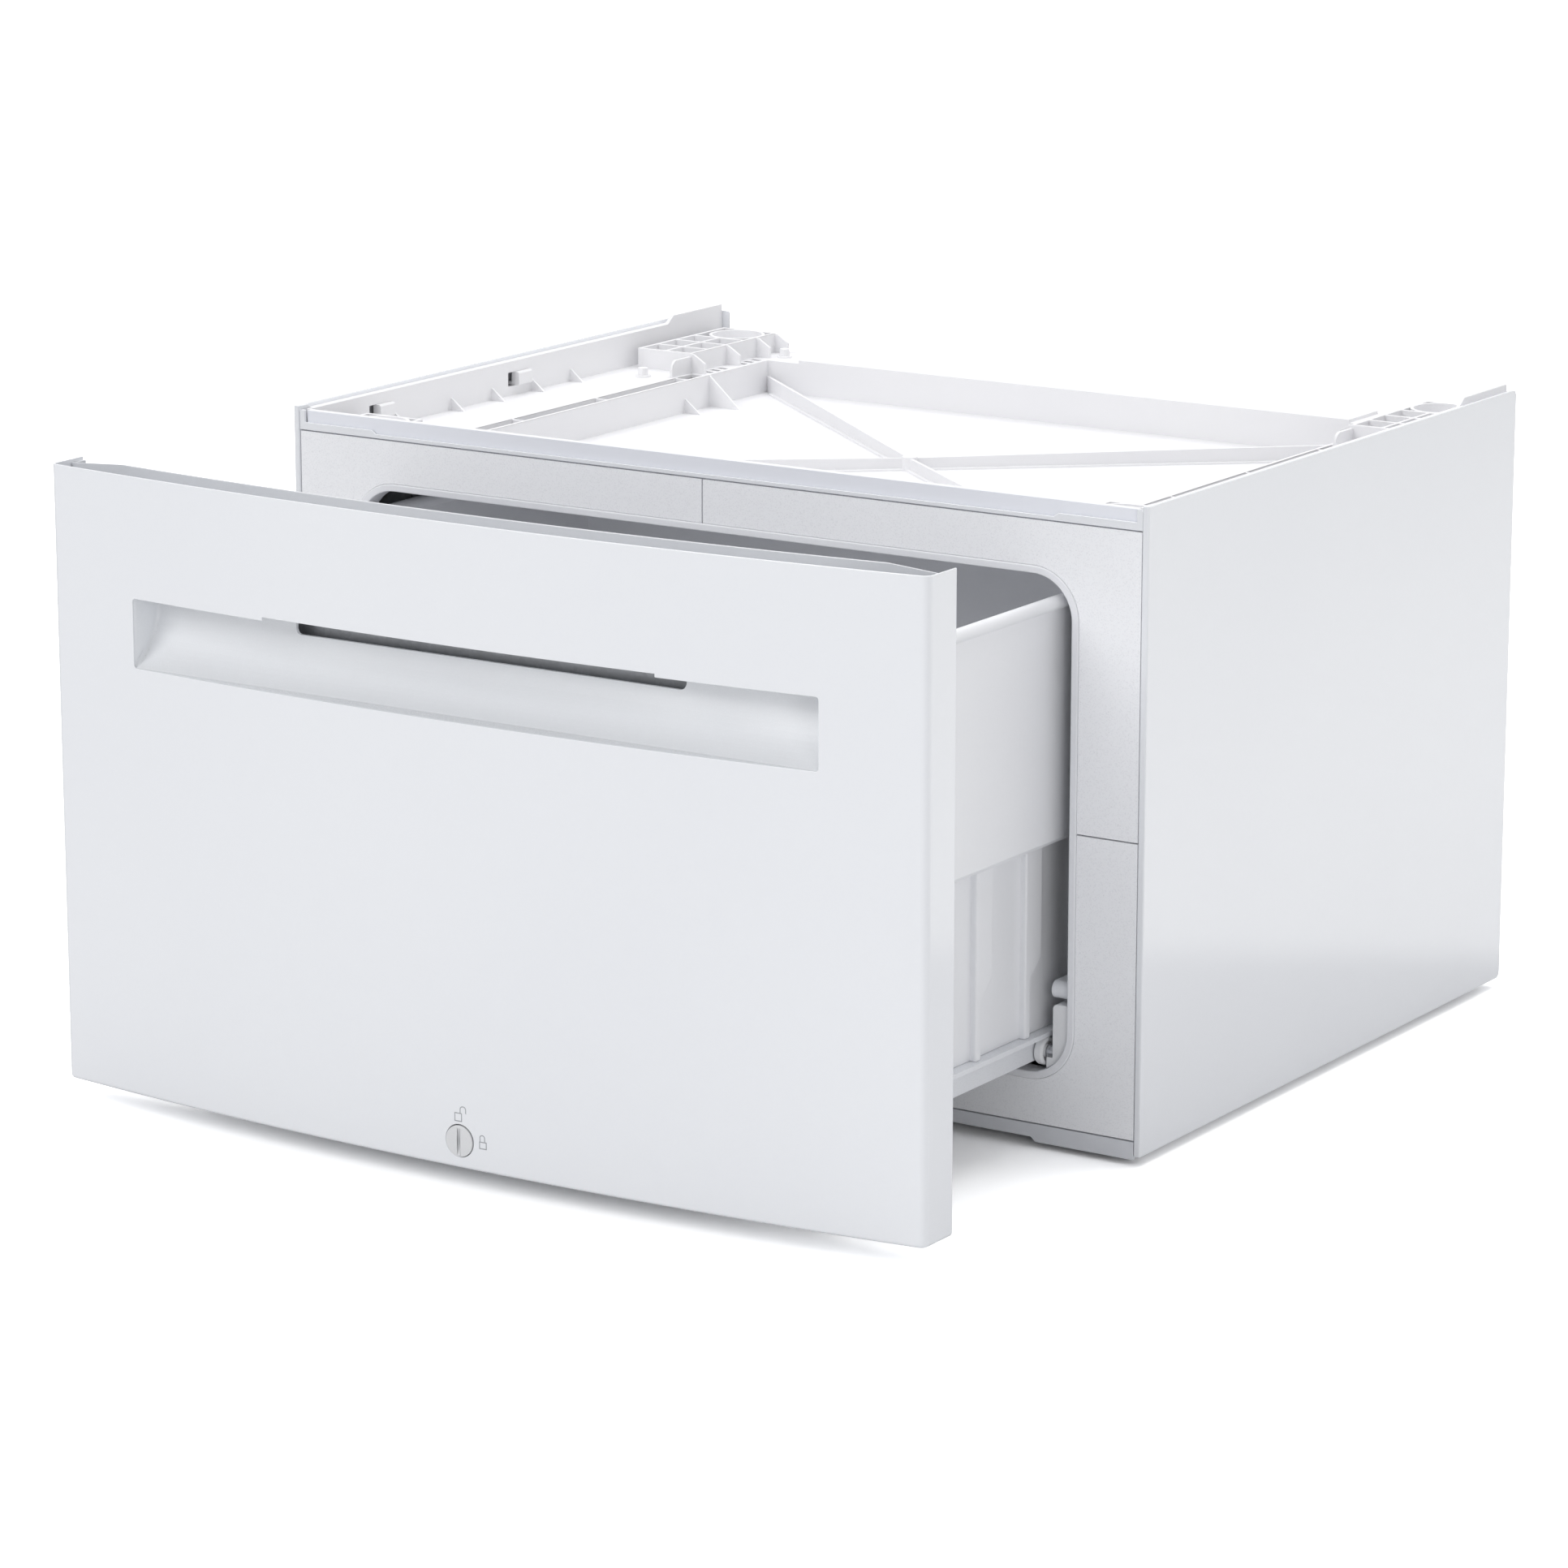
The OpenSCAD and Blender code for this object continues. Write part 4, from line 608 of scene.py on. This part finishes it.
def makeScoop():
    # both ends of the recess meet its floor and back in a fillet
    look = {"endX": 0.233, "slack": 0.00002, "frontY": -0.4645, "low": 0.2704, "fillet": 0.0026,
        "smooth": 40}
    piece = copyOfNode("handle_scoop", "handleRecess", True)

    def onEnd(p):
        return (abs(abs(p.x) - look["endX"]) < look["slack"]
            and p.y > look["frontY"] and p.z > look["low"])

    print("recess end edges:", pickEdges(piece, lambda a, b: onEnd(a) and onEnd(b)))
    bpy.ops.mesh.bevel(offset=look["fillet"], segments=5, profile=0.5, affect="EDGES",
        clamp_overlap=False)
    leaveEdit()
    makeSmooth(piece, look["smooth"])
    settle(piece, "drawer", "scoop_white", "handle_scoop")


def makeLockKnob():
    # each ring is an inset of the face and how far it comes forward
    look = {"place": (0.002, -0.4749, 0.03), "radius": 0.00915, "depth": 0.0046, "dome": 0.0005,
        "faceNormal": -0.9,
        "rings": ((0.0003, 0.00015), (0.0006, 0.00013), (0.0015, 0.0001), (0.002, 0.00007),
            (0.002, 0.00004)),
        "coinRadius": 0.0222, "coinThickness": 0.0019, "coinReach": 0.0207,
        "edge": 0.00018, "edgeAngle": 45}
    bpy.ops.mesh.primitive_cylinder_add(vertices=96, radius=look["radius"], depth=look["depth"],
        location=look["place"], rotation=facingFront)
    piece = bpy.context.object
    piece.name = "lockKnob"
    applyPlace(piece)
    x, y, z = look["place"]
    # the rim stands back by the dome's height, and the face rises ring by ring
    pickPoints(piece, lambda p: p.y < y)
    bpy.ops.transform.translate(value=(0, look["dome"], 0))
    bpy.ops.object.mode_set(mode="OBJECT")
    pickFaces(piece, lambda c, n: n.y < look["faceNormal"])
    for inset, rise in look["rings"]:
        bpy.ops.mesh.inset(thickness=inset)
        bpy.ops.transform.translate(value=(0, -rise, 0))
    leaveEdit()
    # a coin's edge has cut the slot, so it runs out at both ends
    coinY = y - look["depth"] / 2 - look["coinReach"]
    bpy.ops.mesh.primitive_cylinder_add(vertices=128, radius=look["coinRadius"],
        depth=look["coinThickness"], location=(x, coinY, z), rotation=(0, math.pi / 2, 0))
    coin = bpy.context.object
    applyPlace(coin)
    cutAway(piece, coin)
    softenEdges(piece, look["edge"], angle=look["edgeAngle"])
    makeSmooth(piece)
    settle(piece, "lock", "lock_plastic", "lock_knob")


def drawOutline(place, size, rounded, offset, segments, line):
    # a flat frame that faces the front, rounded at the corners that pass
    bpy.ops.mesh.primitive_plane_add(size=1, location=place, rotation=facingFront)
    outline = bpy.context.object
    outline.scale = (*size, 1)
    applyPlace(outline)
    pickPoints(outline, rounded)
    bpy.ops.mesh.bevel(offset=offset, segments=segments, affect="VERTICES")
    bpy.ops.mesh.select_all(action="SELECT")
    bpy.ops.mesh.inset(thickness=line)
    bpy.ops.mesh.delete(type="FACE")
    bpy.ops.object.mode_set(mode="OBJECT")
    return outline


def makePadlock(name, look):
    # outline of a padlock, printed thin on the skin
    x, y, z = look["place"]
    line = look["line"]
    body = drawOutline((x, y, z), look["body"], lambda p: True, look["corner"], 2, line)
    shiftX, footZ, reach, height = look["shackle"]
    topZ = z + footZ + height
    bow = drawOutline((x + shiftX, y, z + footZ + height / 2), (reach, height),
        lambda p: p.z > topZ - drawnWeld, reach * look["bend"], 7, line)
    # the shackle has no bar at its foot
    pickFaces(bow, lambda c, n: c.z < z + footZ + line)
    bpy.ops.mesh.delete(type="FACE")
    bpy.ops.object.mode_set(mode="OBJECT")
    useOnly(body)
    bow.select_set(True)
    bpy.ops.object.join()
    body.name = name
    addModifier(body, "SOLIDIFY", thickness=look["ink"], offset=0)
    settle(body, "drawer", "lock_plastic")
    body.data.materials.clear()
    body.data.materials.append(symbolInk)


symbolInk = mouldedFinish("symbolInk", {
    "colour": (168, 170, 175), "darker": (150, 152, 158), "driftScale": 60.0,
    "mottleScale": 2500.0, "drift": 0.6, "rippleScale": 900.0, "grainScale": 5000.0,
    "grainShare": 0.4, "gloss": (0.3, 0.4), "bump": 0.000005})
makeFrontPanel()
makeScoop()
makeLockKnob()
makePadlock("openPadlock", {"place": (0.0015, -0.47651, 0.0440), "body": (0.0052, 0.0052),
    "shackle": (0.0033, 0.0022, 0.0044, 0.0045), "line": 0.0006, "corner": 0.0003, "bend": 0.47,
    "ink": 0.00003})
makePadlock("closedPadlock", {"place": (0.0183, -0.47644, 0.0300), "body": (0.0052, 0.0044),
    "shackle": (-0.0004, 0.0019, 0.0038, 0.0042), "line": 0.0006, "corner": 0.0003, "bend": 0.47,
    "ink": 0.00003})
print("drawer front made")


# mouldings, panels and rails whose edges are softened

def roundRibs(piece):
    # upright edges of the ribs, which stand out to the tub's widest faces
    look = {"faceX": 0.231, "slack": 0.00005, "upright": 0.003, "radius": 0.0013}

    def onRib(a, b):
        onFace = all(abs(abs(p.x) - look["faceX"]) < look["slack"] for p in (a, b))
        return onFace and abs(a.z - b.z) > look["upright"]

    print("rib edges:", pickEdges(piece, onRib))
    bpy.ops.mesh.bevel(offset=look["radius"], segments=4, affect="EDGES", clamp_overlap=False)
    leaveEdit()


def leanPanel(piece):
    # its upper edge stands a little back and nearly as high as the skin
    look = {"top": 0.3795, "side": 0.29, "move": (0, 0.006, 0.0019)}
    pickPoints(piece, lambda p: p.z > look["top"] and abs(p.x) < look["side"])
    bpy.ops.transform.translate(value=look["move"])
    leaveEdit()


reshapers = {"drawer_tub": roundRibs, "inner_panel": leanPanel}

softPieces = [
    # node, piece, body, edge radius, segments, flat faces joined first
    ("inner_panel", "innerPanel", "drawer", 0.0004, 2, True),
    ("drawer_tub", "tubMoulding", "drawer", 0.0004, 2, True),
    ("drawer_rail_left", "drawerRailLeft", "drawer", 0.0004, 2, True),
    ("drawer_rail_right", "drawerRailRight", "drawer", 0.0004, 2, True),
    ("top_deck", "deckMoulding", "cabinet", 0.0003, 2, False),
    ("deck_clips", "deckClips", "cabinet", 0.0003, 2, False),
    ("side_panel_left", "sidePanelLeft", "cabinet", 0.0003, 2, True),
    ("side_panel_right", "sidePanelRight", "cabinet", 0.0003, 2, True),
    ("front_top_rail", "topRail", "cabinet", 0.0004, 3, True),
    ("bezel_upper_left", "bezelUpperLeft", "cabinet", 0.0003, 2, False),
    ("bezel_upper_right", "bezelUpperRight", "cabinet", 0.0003, 2, False),
    ("bezel_lower_left", "bezelLowerLeft", "cabinet", 0.0003, 2, False),
    ("bezel_lower_right", "bezelLowerRight", "cabinet", 0.0003, 2, False),
    ("opening_trim", "openingTrim", "cabinet", 0.0009, 3, True),
    ("plinth_strip", "plinthStrip", "cabinet", 0.0003, 2, False),
    ("roller_bracket_left", "rollerBracketLeft", "cabinet", 0.0006, 3, True),
    ("roller_bracket_right", "rollerBracketRight", "cabinet", 0.0006, 3, True),
    ("runner_left", "runnerLeft", "cabinet", 0.0004, 2, True),
    ("runner_right", "runnerRight", "cabinet", 0.0004, 2, True),
]
for nodeName, pieceName, body, radius, segments, joinFlats in softPieces:
    piece = copyOfNode(nodeName, pieceName, joinFlats)
    if nodeName in reshapers:
        reshapers[nodeName](piece)
    softenEdges(piece, radius, segments)
    makeSmooth(piece)
    settle(piece, body, slotOf[nodeName], nodeName)
print("edges softened:", len(softPieces))


# stage, lights and camera

def makeStage():
    look = {"size": 60.0, "lit": (0.93, 0.93, 0.93, 1),
        "seen": (1.8, 1.8, 1.8, 1), "seenFar": (3.2, 3.2, 3.2, 1), "fade": (0.9, 2.4),
        # painted reflection: the floor colours that glossy rays see near the object and beyond the
        # slanted edge
        "paintedReflectionNear": (0.55, 0.55, 0.57, 1), "paintedReflectionFar": (1.15, 1.15, 1.15, 1),
        "reflectionEdgeSlope": 0.574, "edge": (0.44, 0.52)}
    bpy.ops.mesh.primitive_plane_add(size=look["size"], location=(0, 0, 0))
    floor = bpy.context.object
    floor.name = "studioFloor"
    material, tree, shader, place = startMaterial("floorPaper")
    tree.nodes.remove(shader)
    # for glossy rays only, the floor is painted darker close by and bright beyond a slanted edge:
    # a painted reflection on the glossy panels, standing in for the floor's shade near the object
    # and the bright backdrop beyond it
    parts = tree.nodes.new("ShaderNodeSeparateXYZ")
    tree.links.new(place, parts.inputs[0])
    slanted = addMath(tree, "MULTIPLY", parts.outputs["X"], look["reflectionEdgeSlope"])
    reach = addMath(tree, "ADD", slanted, parts.outputs["Y"])
    pastReflectionEdge = addRange(tree, reach, *look["edge"])
    paintedReflection = mixColours(tree, pastReflectionEdge, look["paintedReflectionNear"], look["paintedReflectionFar"])
    rays = tree.nodes.new("ShaderNodeLightPath")
    # glossy rays see the painted reflection colours instead of the lit floor
    colour = mixColours(tree, rays.outputs["Is Glossy Ray"], look["lit"], paintedReflection)
    seen = addMath(tree, "MAXIMUM", rays.outputs["Is Camera Ray"],
        rays.outputs["Is Transmission Ray"])
    # the paper brightens away from the object, so its far end joins the white backdrop
    away = tree.nodes.new("ShaderNodeVectorMath")
    away.operation = "LENGTH"
    tree.links.new(place, away.inputs[0])
    faded = addRange(tree, away.outputs["Value"], *look["fade"])
    paper = mixColours(tree, faded, look["seen"], look["seenFar"])
    colour = mixColours(tree, seen, colour, paper)
    diffuse = tree.nodes.new("ShaderNodeBsdfDiffuse")
    tree.links.new(colour, diffuse.inputs["Color"])
    tree.links.new(diffuse.outputs[0], tree.nodes["Material Output"].inputs["Surface"])
    floor.data.materials.append(material)


def makeWorld():
    look = {"light": 0.42, "seen": 1.0}
    world = bpy.data.worlds.new("studioWorld")
    bpy.context.scene.world = world
    world.use_nodes = True
    tree = world.node_tree
    background = tree.nodes["Background"]
    background.inputs["Color"].default_value = (1, 1, 1, 1)
    rays = tree.nodes.new("ShaderNodeLightPath")
    seen = addMath(tree, "MAXIMUM", rays.outputs["Is Camera Ray"], rays.outputs["Is Glossy Ray"])
    seen = addMath(tree, "MAXIMUM", seen, rays.outputs["Is Transmission Ray"])
    strength = addRange(tree, seen, 0.0, 1.0, look["light"], look["seen"])
    tree.links.new(strength, background.inputs["Strength"])


def addLamp(name, look):
    data = bpy.data.lights.new(name, "AREA")
    data.shape = "RECTANGLE"
    data.size, data.size_y = look["size"]
    data.energy = look["power"]
    lamp = bpy.data.objects.new(name, data)
    bpy.context.scene.collection.objects.link(lamp)
    lamp.location = look["place"]
    toTarget = Vector(look["target"]) - Vector(look["place"])
    lamp.rotation_euler = toTarget.to_track_quat("-Z", "Y").to_euler()


def makeCamera():
    look = {"place": (1.8459, -2.9697, 0.9869), "azimuth": 33.127, "elevation": 13.642,
        "lens": 132.73, "sensor": 36.0, "clip": (0.05, 60.0)}
    data = bpy.data.cameras.new("productCamera")
    data.lens, data.sensor_width = look["lens"], look["sensor"]
    data.clip_start, data.clip_end = look["clip"]
    camera = bpy.data.objects.new("productCamera", data)
    bpy.context.scene.collection.objects.link(camera)
    camera.location = look["place"]
    tilt, turn = math.radians(90 - look["elevation"]), math.radians(look["azimuth"])
    camera.rotation_euler = (tilt, 0, turn)
    bpy.context.scene.camera = camera


makeStage()
makeWorld()
lamps = {
    "topSoftbox": {"size": (2.4, 2.4), "power": 38.0, "place": (0.0, 0.5, 2.4),
        "target": (0, 0, 0.3)},
    "frontSoftbox": {"size": (2.4, 2.4), "power": 65.0, "place": (-1.3, -3.6, 2.7),
        "target": (0, -0.3, 0.2)},
    "cornerSoftbox": {"size": (0.8, 0.8), "power": 8.5, "place": (2.2, -2.0, 0.7),
        "target": (0.3, -0.2, 0.15)},
    "rightSoftbox": {"size": (1.6, 1.8), "power": 10.5, "place": (2.3, 1.7, 1.5),
        "target": (0.3, 0.1, 0.22)},
}
for lampName, look in lamps.items():
    addLamp(lampName, look)
makeCamera()
bpy.context.scene.view_settings.view_transform = "Standard"
print("stage, lights and camera ready")
